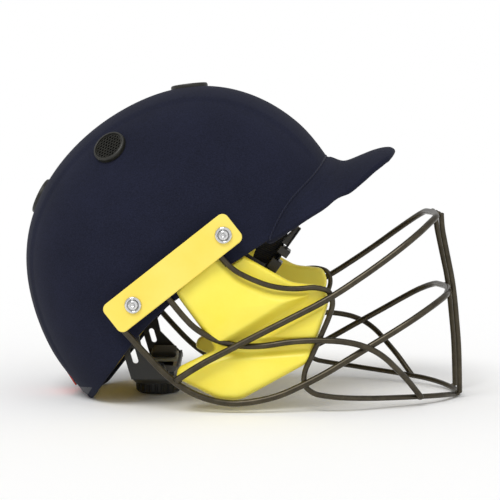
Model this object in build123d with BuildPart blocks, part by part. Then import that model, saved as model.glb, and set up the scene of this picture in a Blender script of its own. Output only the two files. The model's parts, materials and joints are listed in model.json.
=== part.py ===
"""Cricket helmet: padded shell with a peak, a welded wire face grille with cheek
guards, a rack-and-pinion nape adjuster and a chin strap with a side-release buckle.

Millimetres. +X points forwards, +Y to the wearer's left, +Z up. The helmet rests on
the front of its lower wire and on its rear hem, at Z = 0, and is even about Y = 0.
"""
from build123d import *
import os
from math import atan, cos, pi, radians, sin, tan

os.makedirs("parts", exist_ok=True)

# Outer form of the shell: arches that fan out round a crosswise line below the ears
fan_x = -30.0
fan_z = 80.0
fan_foot = 7.0
dome_reach = 159.4
dome_half_width = 93.0
arch_share = 0.66
fan_turns = [18, 42, 66, 90, 114, 138, 162, 186, 210, 236]
reach_shares = [0.796, 0.861, 0.948, 1.0, 0.976, 0.949, 0.915, 0.843, 0.790, 0.762]
overrun = 20.0

# Rim line, seen from the side
hem_front_x = -117.0
rim_nape_x = -74.0
rim_nape_z = 57.0
rim_ear_x = -51.0
rim_ear_z = 80.0
rim_front_x = 117.5
rim_front_z = 188.0
rim_bend = 24.0
hem_bend = 3.0
rim_direction_x = 0.54
rim_direction_z = -0.84

# Layers, from the outside in
cloth_thickness = 1.0
layer_gap = 0.25
shell_wall = 3.0
liner_wall = 10.0
binding_thickness = 0.8
binding_depth = 4.0
liner_setback = 2.0

# Peak
peak_axis_z = 75.0
peak_wall = 2.6
peak_cloth = 0.8
peak_root_radius = 90.0
peak_ear_radius = 101.6
peak_side_radius = 108.6
peak_crown_radius = 109.7
peak_valley_radius = 107.4
peak_flare_radius = 113.8
peak_tip_radius = 118.4
peak_nose_radius = 116.8
peak_root_x = 12.0
peak_ear_x = 24.6
peak_side_x = 38.8
peak_crown_x = 57.0
peak_valley_x = 74.0
peak_flare_x = 93.3
peak_tip_x = 109.0
peak_nose_x = 116.6
peak_plan_radius = 110.0
binding_front_x = 13.0

# Ventilation caps
vent_diameter = 28.8
vent_thickness = 3.0
vent_seat_depth = 3.0
vent_boss_diameter = 25.4
vent_boss_wall = 1.2
vent_boss_depth = 4.0
vent_ring_width = 2.4
vent_edge = 0.8
vent_mesh_wall = 1.2
vent_mesh_depth = 0.9
vent_hole_width = 2.3
vent_hole_pitch = 3.4
vent_hole_rings = 3
vent_fit = 0.3
vent_top_turn = 95.0
vent_rear_turn = 150.3
vent_side_turn = 121.2
vent_side_y = 58.5

# Comfort pads
pad_thickness = 6.0
pad_gap = 0.3
crown_pad_diameter = 86.0
crown_pad_hole = 34.0
pad_rim_gap = 8.0
brow_pad_width = 96.0
brow_pad_rise = 30.0
side_pad_front_x = 22.0
side_pad_rear_x = -58.0
side_pad_rise = 34.0
pad_relief = 31.0
nape_pad_width = 76.0
nape_pad_top_z = 84.0
nape_pad_low_z = 50.0
nape_patch_width = 30.0
nape_patch_low_z = 7.0
nape_patch_high_z = 35.0
nape_patch_thickness = 0.8

# Side plate and the parts that carry the grille
plate_length = 113.0
plate_width = 24.6
plate_thickness = 2.0
plate_inner_y = 99.6
plate_centre_x = -47.6
plate_centre_z = 102.2
plate_tilt = 38.2
plate_corner = 5.0
plate_edge = 0.6
bracket_thickness = 1.6
bracket_inset = 2.8
bolt_spacing = 82.4
bolt_shift_x = 4.2
bolt_shift_z = 2.3
bolt_diameter = 5.0
bolt_fit = 0.2
bolt_head_diameter = 7.4
bolt_head_height = 1.7
bolt_socket_diameter = 3.4
bolt_socket_depth = 1.1
washer_diameter = 12.7
washer_height = 2.0
washer_floor = 0.9
washer_edge = 0.6
spacer_diameter = 11.0
nut_width = 8.0
nut_height = 4.0
nut_fit = 0.1
nut_seat_y = 84.6
nut_pocket_clearance = 0.6
bolt_end_y = 79.6

# Welded wire grille
heavy_wire = 4.8
cheek_wire = 4.5
centre_wire = 4.2
loop_wire = 4.0
weld = 0.25
grille_reach = 170.0
grille_half_width = 98.0
grille_height = 146.0
bend_share = 0.45
largest_bend = 320.0

# Cheek guards
guard_inner_y = 78.5
guard_wall = 9.0
guard_panel_rise = 4.6
guard_brow_rise = 9.2
guard_edge = 2.6
guard_panel_edge = 2.0
guard_corner = 4.0
guard_shell_gap = 0.6
guard_length = 65.0
guard_tall = 115.0
guard_outline_shares = [
    (-0.194, 0.991), (0.572, 0.798), (0.923, 0.778), (0.968, 0.696), (0.808, 0.439),
    (0.728, 0.314), (0.000, 0.080), (-0.232, 0.083), (-0.712, 0.217), (-0.683, 0.278),
    (-0.265, 0.397), (-0.742, 0.737),
]
brow_panel_shares = [
    (-0.277, 0.930), (0.031, 0.813), (0.369, 0.753), (0.738, 0.734), (0.062, 0.518),
    (-0.154, 0.497), (-0.400, 0.563), (-0.615, 0.687),
]
wedge_panel_shares = [(0.369, 0.492), (0.862, 0.635), (0.792, 0.515), (0.554, 0.501)]
low_panel_shares = [
    (-0.462, 0.243), (-0.092, 0.360), (0.154, 0.377), (0.646, 0.409), (0.623, 0.330),
    (0.031, 0.139), (-0.215, 0.135),
]

# Nape cradle and its adjuster
cradle_x = -69.0
cradle_base_z = 8.4
cradle_wall = 2.5
cradle_arc_radius = 154.0
cradle_half_width = 60.0
cradle_band_width = 27.0
cradle_hub_diameter = 38.0
cradle_lip_width = 1.8
cradle_lip_height = 3.2
cradle_lip_end_y = 57.0
arm_width = 14.0
arm_middle_x = -80.5
arm_middle_z = 37.0
arm_slot_width = 4.4
arm_slot_length = 12.0
arm_slot_turn = 74.0
pivot_x = -84.5
pivot_z = 55.0
pivot_pin = 5.0
pivot_fit = 0.08
pivot_head = 9.0
pivot_head_height = 1.6
pivot_gap = 0.3
pivot_root_y = 92.0
knob_diameter = 35.5
knob_height = 7.2
knob_gap = 0.4
knob_chamfer = 1.6
knob_flutes = 24
knob_flute_diameter = 2.4
pinion_teeth = 14
pinion_height = 2.6
tooth_module = 1.0
tooth_addendum = 0.9
tooth_dedendum = 1.2
tooth_slack = 0.3
pressure_angle = 20.0
rack_body_width = 3.0
rack_thickness = 2.4
rack_gap = 0.25
rack_teeth_inwards = 4
rack_teeth_outwards = 6
rack_inner_end = 13.0
rack_outer_end = 52.0
rack_plate_start = 36.0
rack_plate_wall = 1.5
rack_plate_width = 22.0
band_pad_thickness = 5.0
axle_diameter = 6.0
axle_fit = 0.1
drive_width = 3.8
drive_fit = 0.06
cover_gap = 0.1
cover_wall = 3.0
cover_hole = 7.0
screw_diameter = 2.0
screw_length = 7.0
screw_head = 5.0
screw_head_height = 1.4

# Chin strap
strap_width = 20.0
strap_thickness = 1.4
strap_y = -45.0
buckle_lean = 54.5
buckle_x = 16.5
buckle_z = 94.5
buckle_width = 25.0
buckle_height = 8.6
buckle_wall = 1.6
socket_start = -11.0
socket_end = 8.0
socket_floor = 6.0
webbing_slot = 2.4
webbing_slot_inset = 1.8
plug_gap = 0.4
plug_length = 9.0
prong_length = 11.0
prong_width = 4.0
prong_edge = 0.8
slider_start = 22.0
slider_length = 6.0
slider_height = 9.0
slider_slot = 2.6
tail_end = 46.0
tab_start = 30.0
tab_height = 4.2
tab_end_height = 1.6
tab_ribs = 3
tab_rib_height = 0.7
anchor_x = -14.0
anchor_z = 116.0
anchor_inner_y = 67.5
anchor_pin = 4.0
anchor_head = 9.0
anchor_head_height = 1.6
anchor_fit = 0.08
strap_web_y = 70.1
strap_turn_z = 84.0
chin_z = 60.0
chin_x = -8.0
chin_pad_y = -22.0
chin_pad_length = 62.0
chin_pad_width = 32.0
chin_pad_thickness = 8.0
chin_pad_edge = 3.0
strap_gap = 0.3
right_drop = 22.0


# Forms that several pieces share

def fan_plane(turn):
    """Plane of one arch; its local X points outwards and its local Y to one side."""
    outwards = Vector(cos(radians(turn)), 0, sin(radians(turn)))
    return Plane(origin=(fan_x, 0, fan_z), x_dir=outwards, z_dir=outwards.cross(Vector(0, 1, 0)))


def arch_curves(reach, width):
    """Two curves of an arch, from one foot over the top to the other."""
    shoulder = fan_foot + (reach - fan_foot) * arch_share
    side = width * arch_share
    Bezier((fan_foot, -width), (shoulder, -width), (reach, -side), (reach, 0))
    Bezier((reach, 0), (reach, side), (shoulder, width), (fan_foot, width))


def dome_layer(outset, inset):
    """Hollow layer between two depths below the outer cloth."""
    with BuildPart() as layer:
        for turn, share in zip(fan_turns, reach_shares):
            with BuildSketch(fan_plane(turn)):
                with BuildLine():
                    outer_width = dome_half_width - outset
                    inner_width = dome_half_width - inset
                    arch_curves(dome_reach * share - outset, outer_width)
                    arch_curves(dome_reach * share - inset, inner_width)
                    Line((fan_foot, outer_width), (fan_foot, inner_width))
                    Line((fan_foot, -outer_width), (fan_foot, -inner_width))
                make_face()
        loft()
    return layer.part


def dome_form(inset):
    """Solid form of the whole helmet at one depth below the outer cloth."""
    with BuildPart() as form:
        for turn, share in zip(fan_turns, reach_shares):
            with BuildSketch(fan_plane(turn)):
                with BuildLine():
                    width = dome_half_width - inset
                    arch_curves(dome_reach * share - inset, width)
                    Line((fan_foot, width), (fan_foot, -width))
                make_face()
        loft()
    return form.part


def above_rim(setback):
    """Everything above the rim line, with the line moved up by this much."""
    far = dome_reach * 2
    slope = (rim_front_z - rim_ear_z) / (rim_front_x - rim_ear_x)
    with BuildPart() as region:
        with BuildSketch(Plane.XZ):
            with BuildLine():
                rim = FilletPolyline(
                    (-far, 0),
                    (hem_front_x, 0),
                    (rim_nape_x, rim_nape_z),
                    (rim_ear_x, rim_ear_z),
                    (far, rim_ear_z + slope * (far - rim_ear_x)),
                    radius=[hem_bend, rim_bend, rim_bend],
                )
                Polyline(rim @ 1, (far, far * 2), (-far, far * 2), rim @ 0)
            make_face()
        extrude(amount=dome_half_width + overrun, both=True)
    return region.part.moved(Location((-rim_direction_x * setback, 0, -rim_direction_z * setback)))


def dome_plane(turn, side, lift):
    """Plane that touches the outer cloth, where a ray at this turn and distance from the
    centre line leaves it."""
    outwards = Vector(cos(radians(turn)), 0, sin(radians(turn)))
    ray = Axis((fan_x, side, fan_z), outwards)
    spot, normal = max(cover_form.find_intersection_points(ray), key=lambda hit: hit[0].Z)
    if normal.dot(outwards) < 0:
        normal = normal * -1
    return Plane(origin=spot + normal * lift, x_dir=Vector(0, 1, 0).cross(normal), z_dir=normal)


def mirrored(solid):
    """The same piece on the other side of the helmet."""
    return mirror(solid, about=Plane.XZ)


def save(solid, name):
    solid.label = name
    export_step(solid, f"parts/{name}.step")


shell_depth = cloth_thickness + layer_gap
liner_depth = shell_depth + shell_wall + layer_gap
pad_depth = liner_depth + liner_wall + pad_gap
cover_form = dome_form(0)
clear_form = dome_form(-layer_gap)
rim_region = above_rim(0)
edge_region = above_rim(binding_depth + layer_gap)


# Peak: a flared strip turned about a fore-and-aft axis and trimmed by the rim

def peak_profile(inset):
    """Closed outline of the flared strip, moved in from its outer face."""
    outer = [
        (peak_root_x, peak_root_radius),
        (peak_ear_x, peak_ear_radius),
        (peak_side_x, peak_side_radius),
        (peak_crown_x, peak_crown_radius),
        (peak_valley_x, peak_valley_radius),
        (peak_flare_x, peak_flare_radius),
        (peak_tip_x, peak_tip_radius),
    ]
    depth = peak_wall + 2 * (peak_cloth + layer_gap)
    top_points = [(x, peak_axis_z + radius - inset) for x, radius in outer]
    low_points = [(x, peak_axis_z + radius - depth + inset) for x, radius in outer]
    top = Spline(*top_points)
    low = Spline(*low_points)
    Line(top @ 0, low @ 0)
    nose = (peak_nose_x - inset, peak_axis_z + peak_nose_radius - depth / 2)
    ThreePointArc(top @ 1, nose, low @ 1)


def peak_form(solid):
    """The moulded peak, or the cloth skin that wraps it."""
    with BuildPart() as strip:
        with BuildSketch(Plane.XZ):
            with BuildLine():
                peak_profile(peak_cloth + layer_gap if solid else 0)
            make_face()
            if not solid:
                with BuildLine():
                    peak_profile(peak_cloth)
                make_face(mode=Mode.SUBTRACT)
        revolve(axis=Axis((0, 0, peak_axis_z), (1, 0, 0)))
        with BuildSketch(Plane.XY):
            with Locations((peak_nose_x - peak_plan_radius, 0)):
                Circle(peak_plan_radius)
        extrude(amount=dome_reach * 2, mode=Mode.INTERSECT)
        add(rim_region, mode=Mode.INTERSECT)
    return strip.part


def vent_planes(lift):
    """Places of the ventilation caps on the centre line and on the left side."""
    return {
        "top": dome_plane(vent_top_turn, 0, lift),
        "rear": dome_plane(vent_rear_turn, 0, lift),
        "left": dome_plane(vent_side_turn, vent_side_y, lift),
    }


def vent_wells(diameter):
    """Round channels through the layers below the four ventilation caps."""
    depth = pad_depth + pad_thickness + overrun
    wells = []
    for name, plane in vent_planes(overrun).items():
        with BuildPart() as well:
            with BuildSketch(plane):
                Circle(diameter / 2)
            extrude(amount=-depth - overrun)
        wells.append(well.part)
        if name == "left":
            wells.append(mirrored(well.part))
    return wells


vent_holes = vent_wells(vent_boss_diameter + 2 * vent_fit)
vent_ducts = vent_wells(vent_boss_diameter - 2 * vent_boss_wall)

# Bolts through the side plate, in the plate's own plane
plate_along = Vector(cos(radians(plate_tilt)), 0, sin(radians(plate_tilt)))
bolt_middle = Vector(plate_centre_x + bolt_shift_x, 0, plate_centre_z + bolt_shift_z)
bolt_spots = [bolt_middle + plate_along * bolt_spacing * half for half in (-1 / 2, 1 / 2)]


def side_plane(y):
    """Upright plane on the left side; its local X points backwards and its local Y up."""
    return Plane(origin=(0, y, 0), x_dir=(-1, 0, 0), z_dir=(0, 1, 0))


def side_rods(diameter, start_y, end_y):
    """Round rods on the two bolt axes, on the left side."""
    with BuildPart() as rods:
        with BuildSketch(side_plane(start_y)):
            with Locations(*[(-spot.X, spot.Z) for spot in bolt_spots]):
                Circle(diameter / 2)
        extrude(amount=end_y - start_y)
    return rods.part


bolt_holes = side_rods(bolt_diameter + 2 * bolt_fit, bolt_end_y - overrun, plate_inner_y + overrun)
bolt_holes_right = mirrored(bolt_holes)

pivot_holes = []
anchor_holes = []
for side in (-1, 1):
    with BuildPart() as stud_hole:
        with BuildSketch(Plane.XZ):
            with Locations((pivot_x, pivot_z)):
                Circle(pivot_head / 2 + pivot_gap)
        extrude(amount=-side * (pivot_root_y + overrun))
    pivot_holes.append(stud_hole.part)
    with BuildPart() as stud_hole:
        with BuildSketch(Plane.XZ):
            with Locations((anchor_x, anchor_z)):
                Circle(anchor_head / 2 + pivot_gap)
        extrude(amount=-side * (pivot_root_y + overrun))
    anchor_holes.append(stud_hole.part)

# Layers of the shell
with BuildPart() as dome_cover:
    add(dome_layer(0, cloth_thickness))
    add(edge_region, mode=Mode.INTERSECT)
    add(vent_holes, mode=Mode.SUBTRACT)
    add([bolt_holes, bolt_holes_right], mode=Mode.SUBTRACT)
save(dome_cover.part, "dome_cover")

with BuildPart() as hard_shell:
    add(dome_layer(shell_depth, shell_depth + shell_wall))
    add(edge_region, mode=Mode.INTERSECT)
    add(vent_holes, mode=Mode.SUBTRACT)
    add([bolt_holes, bolt_holes_right], mode=Mode.SUBTRACT)
save(hard_shell.part, "hard_shell")

with BuildPart() as rim_binding:
    add(dome_layer(-binding_thickness, shell_depth + shell_wall))
    add(rim_region, mode=Mode.INTERSECT)
    add(above_rim(binding_depth), mode=Mode.SUBTRACT)
    split(bisect_by=Plane.YZ.offset(binding_front_x), keep=Keep.BOTTOM)
save(rim_binding.part, "rim_binding")

nut_pocket = side_rods(
    nut_width / cos(pi / 6) + 2 * nut_pocket_clearance,
    bolt_end_y - nut_pocket_clearance,
    plate_inner_y,
)
with BuildPart() as foam_liner:
    add(dome_layer(liner_depth, liner_depth + liner_wall))
    add(above_rim(liner_setback), mode=Mode.INTERSECT)
    add(vent_ducts, mode=Mode.SUBTRACT)
    add([nut_pocket, mirrored(nut_pocket)], mode=Mode.SUBTRACT)
    add(pivot_holes + anchor_holes, mode=Mode.SUBTRACT)
save(foam_liner.part, "foam_liner")

with BuildPart() as peak_core:
    add(peak_form(True))
    add(clear_form, mode=Mode.SUBTRACT)
save(peak_core.part, "peak_core")

with BuildPart() as peak_cover:
    add(peak_form(False))
    add(clear_form, mode=Mode.SUBTRACT)
save(peak_cover.part, "peak_cover")

# Ventilation caps: a domed ring with a honeycomb mesh and a boss through the shell
honeycomb = [
    (vent_hole_pitch * (i + j / 2), vent_hole_pitch * j * cos(pi / 6))
    for i in range(-vent_hole_rings, vent_hole_rings + 1)
    for j in range(-vent_hole_rings, vent_hole_rings + 1)
    if abs(i + j) <= vent_hole_rings
]


def vent_cap(plane):
    ring_top = plane.offset(vent_thickness)
    mesh_top = plane.offset(vent_thickness - vent_mesh_depth)
    duct_top = plane.offset(vent_thickness - vent_mesh_depth - vent_mesh_wall)
    duct_depth = vent_boss_depth + vent_thickness + overrun
    with BuildPart() as cap:
        with BuildSketch(plane.offset(-vent_seat_depth)):
            Circle(vent_diameter / 2)
        extrude(amount=vent_thickness + vent_seat_depth)
        chamfer(cap.faces().sort_by(Axis(plane.origin, plane.z_dir))[-1].edges(), vent_edge)
        add(clear_form, mode=Mode.SUBTRACT)
        with BuildSketch(plane.offset(-vent_boss_depth)):
            Circle(vent_boss_diameter / 2)
        extrude(amount=vent_boss_depth + vent_edge)
        with BuildSketch(ring_top):
            Circle(vent_diameter / 2 - vent_ring_width)
        extrude(amount=-vent_mesh_depth, mode=Mode.SUBTRACT)
        with BuildSketch(duct_top):
            Circle(vent_boss_diameter / 2 - vent_boss_wall)
        extrude(amount=-duct_depth, mode=Mode.SUBTRACT)
        with BuildSketch(mesh_top):
            with Locations(*honeycomb):
                RegularPolygon(vent_hole_width / 2, 6, major_radius=False)
        extrude(amount=-vent_mesh_wall * 2, mode=Mode.SUBTRACT)
    return cap.part


for name, plane in vent_planes(0).items():
    cap_part = vent_cap(plane)
    save(cap_part, f"vent_cap_{name}")
    if name == "left":
        save(mirrored(cap_part), "vent_cap_right")

# Comfort pads inside the liner
pad_layer = dome_layer(pad_depth, pad_depth + pad_thickness)
pad_low = above_rim(pad_rim_gap)


def pad_block(low_x, high_x, low_y, high_y, low_z, high_z):
    """Upright block between two corners."""
    with BuildPart() as block:
        with BuildSketch(Plane.XY.offset(low_z)):
            with Locations(((low_x + high_x) / 2, (low_y + high_y) / 2)):
                Rectangle(high_x - low_x, high_y - low_y)
        extrude(amount=high_z - low_z)
    return block.part


with BuildPart() as crown_pad:
    with BuildSketch(vent_planes(0)["top"]):
        Circle(crown_pad_diameter / 2)
        Circle(crown_pad_hole / 2, mode=Mode.SUBTRACT)
    extrude(amount=-crown_pad_diameter)
    add(pad_layer, mode=Mode.INTERSECT)
save(crown_pad.part, "crown_pad")

half_brow = brow_pad_width / 2
with BuildPart() as brow_pad:
    add(pad_block(side_pad_front_x, dome_reach, -half_brow, half_brow, rim_ear_z, dome_reach * 2))
    add(pad_layer, mode=Mode.INTERSECT)
    add(pad_low, mode=Mode.INTERSECT)
    add(above_rim(pad_rim_gap + brow_pad_rise), mode=Mode.SUBTRACT)
save(brow_pad.part, "brow_pad")

with BuildPart() as side_pad:
    add(pad_block(side_pad_rear_x, side_pad_front_x, half_brow, dome_half_width, 0, dome_reach))
    add(pad_layer, mode=Mode.INTERSECT)
    add(pad_low, mode=Mode.INTERSECT)
    add(above_rim(pad_rim_gap + side_pad_rise), mode=Mode.SUBTRACT)
    add(anchor_holes, mode=Mode.SUBTRACT)
    add(
        pad_block(
            anchor_x - pad_relief / 2,
            anchor_x + pad_relief / 2,
            0,
            strap_web_y + strap_thickness / 2 + pad_gap,
            0,
            anchor_z + pad_relief / 2,
        ),
        mode=Mode.SUBTRACT,
    )
save(side_pad.part, "side_pad_left")
save(mirrored(side_pad.part), "side_pad_right")

half_nape = nape_pad_width / 2
with BuildPart() as nape_pad:
    add(pad_block(-dome_reach * 2, fan_x + cradle_x, -half_nape, half_nape, nape_pad_low_z, nape_pad_top_z))
    add(pad_layer, mode=Mode.INTERSECT)
save(nape_pad.part, "nape_pad")

half_patch = nape_patch_width / 2
with BuildPart() as nape_patch:
    add(pad_block(-dome_reach * 2, hem_front_x, -half_patch, half_patch, nape_patch_low_z, nape_patch_high_z))
    add(dome_layer(-layer_gap - nape_patch_thickness, -layer_gap), mode=Mode.INTERSECT)
save(nape_patch.part, "nape_patch")


# Side plates, brackets, bolts, washers, spacers and nuts

def plate_plane(y):
    """Plane of the side plate; its local X runs along the plate."""
    return Plane(origin=(plate_centre_x, y, plate_centre_z), x_dir=plate_along, z_dir=(0, 1, 0))


with BuildPart() as side_plate:
    with BuildSketch(plate_plane(plate_inner_y)):
        RectangleRounded(plate_length, plate_width, plate_corner)
    extrude(amount=plate_thickness)
    chamfer(side_plate.faces().sort_by(Axis.Y)[-1].edges(), plate_edge)
    add(bolt_holes, mode=Mode.SUBTRACT)
save(side_plate.part, "side_plate_left")
save(mirrored(side_plate.part), "side_plate_right")

bracket_inner_y = plate_inner_y - bracket_thickness
with BuildPart() as mount_bracket:
    with BuildSketch(plate_plane(bracket_inner_y)):
        RectangleRounded(
            plate_length - 2 * bracket_inset,
            plate_width - 2 * bracket_inset,
            plate_corner - bracket_inset / 2,
        )
    extrude(amount=bracket_thickness)
    add(bolt_holes, mode=Mode.SUBTRACT)
save(mount_bracket.part, "mount_bracket_left")
save(mirrored(mount_bracket.part), "mount_bracket_right")

with BuildPart() as spacers:
    add(side_rods(spacer_diameter, bolt_end_y, bracket_inner_y))
    add(clear_form, mode=Mode.SUBTRACT)
    add(bolt_holes, mode=Mode.SUBTRACT)
    add(mirrored(spacers.part))
save(spacers.part, "mount_spacers")

plate_outer_y = plate_inner_y + plate_thickness
with BuildPart() as washers:
    add(side_rods(washer_diameter, plate_outer_y, plate_outer_y + washer_height))
    chamfer(washers.faces().group_by(Axis.Y)[-1].edges(), washer_edge)
    add(
        side_rods(
            bolt_head_diameter + 2 * bolt_fit,
            plate_outer_y + washer_floor,
            plate_outer_y + washer_height,
        ),
        mode=Mode.SUBTRACT,
    )
    add(bolt_holes, mode=Mode.SUBTRACT)
    add(mirrored(washers.part))
save(washers.part, "mount_washers")

head_base_y = plate_outer_y + washer_floor
head_top_y = head_base_y + bolt_head_height
with BuildPart() as bolts:
    add(side_rods(bolt_head_diameter, head_base_y, head_top_y))
    add(side_rods(bolt_diameter, bolt_end_y, head_base_y))
    with BuildSketch(side_plane(head_top_y)):
        with Locations(*[(-spot.X, spot.Z) for spot in bolt_spots]):
            RegularPolygon(bolt_socket_diameter / 2, 6)
    extrude(amount=-bolt_socket_depth, mode=Mode.SUBTRACT)
    add(mirrored(bolts.part))
save(bolts.part, "mount_bolts")

with BuildPart() as nuts:
    with BuildSketch(side_plane(nut_seat_y)):
        with Locations(*[(-spot.X, spot.Z) for spot in bolt_spots]):
            RegularPolygon(nut_width / 2, 6, major_radius=False)
    extrude(amount=-nut_height)
    add(side_rods(bolt_diameter + 2 * nut_fit, bolt_end_y, nut_seat_y), mode=Mode.SUBTRACT)
    add(mirrored(nuts.part))
save(nuts.part, "mount_nuts")

# Welded wire grille; each table runs from the plate to the front, on the left side
top_bar_shares = [
    (-0.268, 1.003, 0.167), (-0.165, 0.996, 0.245), (0.089, 0.987, 0.400), (0.384, 0.969, 0.575),
    (0.553, 0.920, 0.708), (0.638, 0.890, 0.779), (0.712, 0.853, 0.845), (0.774, 0.770, 0.901),
    (0.813, 0.673, 0.938), (0.847, 0.561, 0.967), (0.868, 0.000, 0.974),
]
middle_bar_shares = [
    (-0.526, 0.978, 0.461), (-0.479, 0.976, 0.398), (-0.389, 0.971, 0.282), (-0.323, 0.965, 0.202),
    (-0.256, 0.961, 0.136), (-0.182, 0.959, 0.088), (-0.100, 0.959, 0.059), (-0.024, 0.959, 0.048),
    (0.075, 0.957, 0.060), (0.174, 0.953, 0.090), (0.343, 0.937, 0.182), (0.512, 0.886, 0.301),
    (0.647, 0.834, 0.393), (0.741, 0.792, 0.460), (0.815, 0.718, 0.514), (0.862, 0.622, 0.545),
    (0.897, 0.500, 0.566), (0.935, 0.000, 0.577),
]
cheek_bar_shares = [
    (-0.344, 0.980, 0.637), (-0.300, 0.980, 0.573), (-0.241, 0.976, 0.488), (-0.194, 0.969, 0.429),
    (-0.141, 0.959, 0.388), (-0.076, 0.949, 0.353), (0.012, 0.945, 0.333), (0.106, 0.945, 0.336),
    (0.212, 0.948, 0.358), (0.318, 0.950, 0.367), (0.424, 0.950, 0.364), (0.506, 0.940, 0.347),
    (0.571, 0.910, 0.316), (0.624, 0.857, 0.271), (0.671, 0.778, 0.212), (0.721, 0.688, 0.148),
    (0.788, 0.577, 0.044),
]
lower_loop_shares = [
    (-0.112, 0.982, 0.831), (-0.072, 0.982, 0.774), (-0.024, 0.980, 0.714), (0.047, 0.971, 0.671),
    (0.129, 0.959, 0.634), (0.224, 0.945, 0.618), (0.324, 0.933, 0.629), (0.384, 0.924, 0.610),
    (0.399, 0.918, 0.551), (0.381, 0.914, 0.479), (0.324, 0.908, 0.325), (0.276, 0.902, 0.205),
    (0.274, 0.904, 0.134), (0.318, 0.902, 0.093), (0.400, 0.892, 0.077), (0.482, 0.849, 0.068),
    (0.588, 0.755, 0.058), (0.718, 0.616, 0.049), (0.846, 0.452, 0.039), (0.912, 0.316, 0.030),
    (0.962, 0.158, 0.018), (0.985, 0.000, 0.014),
]
centre_bar_shares = [
    (0.881, 0.281, 0.997), (0.887, 0.274, 0.897), (0.908, 0.262, 0.781), (0.936, 0.243, 0.630),
    (0.949, 0.232, 0.524), (0.970, 0.207, 0.279), (0.975, 0.190, 0.104), (0.9765, 0.184, 0.029),
]


def wire_route(shares, across):
    """Points of a wire; one that goes across the face runs back along the other side."""
    route = [Vector(grille_reach * x, grille_half_width * y, grille_height * z) for x, y, z in shares]
    if across:
        route += [Vector(point.X, -point.Y, point.Z) for point in reversed(route[:-1])]
    return route


def bend_radii(route):
    """One radius for each corner: as wide as its two runs allow."""
    radii = []
    for before, corner, after in zip(route, route[1:], route[2:]):
        run_in = corner - before
        run_out = after - corner
        half_turn = radians(run_in.get_angle(run_out) / 2)
        shorter = min(run_in.length, run_out.length)
        radii.append(min(bend_share * shorter / tan(half_turn), largest_bend))
    return radii


def bent_wire(shares, diameter, across):
    route = wire_route(shares, across)
    with BuildPart() as wire:
        with BuildLine():
            FilletPolyline(*route, radius=bend_radii(route))
        with BuildSketch(Plane(origin=route[0], z_dir=route[1] - route[0])):
            Circle(diameter / 2)
        sweep()
    return wire.part


save(bent_wire(top_bar_shares, heavy_wire, True), "top_bar")
save(bent_wire(middle_bar_shares, heavy_wire, True), "middle_bar")
save(bent_wire(lower_loop_shares, loop_wire, True), "lower_loop")
cheek_bar = bent_wire(cheek_bar_shares, cheek_wire, False)
save(cheek_bar, "cheek_bar_left")
save(mirrored(cheek_bar), "cheek_bar_right")
centre_bar = bent_wire(centre_bar_shares, centre_wire, False)
save(centre_bar, "centre_bar_left")
save(mirrored(centre_bar), "centre_bar_right")


# Cheek guards: a base with three raised panels between the wires

def guard_points(shares):
    return [(-guard_length * x, guard_tall * z) for x, z in shares]


guard_outer_y = guard_inner_y + guard_wall
with BuildPart() as cheek_guard:
    with BuildSketch(side_plane(guard_inner_y)) as guard_outline:
        with BuildLine():
            Polyline(*guard_points(guard_outline_shares), close=True)
        make_face()
        fillet(guard_outline.vertices(), guard_corner)
    extrude(amount=guard_wall)
    fillet(cheek_guard.edges().group_by(Axis.Y)[-1], guard_edge)
    fillet(cheek_guard.edges().group_by(Axis.Y)[0], guard_edge)
guard_base = cheek_guard.part


def guard_panel(shares, rise):
    with BuildPart() as panel:
        with BuildSketch(side_plane(guard_outer_y - guard_edge)) as panel_outline:
            with BuildLine():
                Polyline(*guard_points(shares), close=True)
            make_face()
            fillet(panel_outline.vertices(), guard_corner / 2)
        extrude(amount=guard_edge + rise)
        fillet(panel.edges().group_by(Axis.Y)[-1], guard_panel_edge)
    return panel.part


with BuildPart() as guard:
    add(guard_base)
    add(guard_panel(brow_panel_shares, guard_brow_rise))
    add(guard_panel(wedge_panel_shares, guard_panel_rise))
    add(guard_panel(low_panel_shares, guard_panel_rise))
    add(
        dome_form(-binding_thickness - guard_shell_gap) & above_rim(-guard_shell_gap),
        mode=Mode.SUBTRACT,
    )
save(guard.part, "cheek_guard_left")
save(mirrored(guard.part), "cheek_guard_right")


# Nape cradle: a curved band with two lips, a round hub and two arms on pivot studs
arc_centre_z = cradle_base_z + cradle_arc_radius


def arc_band(outer_radius, thickness, half_width, low_x, high_x):
    """Strip of a ring round the cradle's fore-and-aft axis, below that axis."""
    with BuildPart() as band:
        with BuildSketch(Plane.YZ.offset(low_x)):
            with Locations((0, arc_centre_z)):
                Circle(outer_radius)
                Circle(outer_radius - thickness, mode=Mode.SUBTRACT)
            Rectangle(2 * half_width, cradle_arc_radius, mode=Mode.INTERSECT)
        extrude(amount=high_x - low_x)
    return band.part


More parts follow.
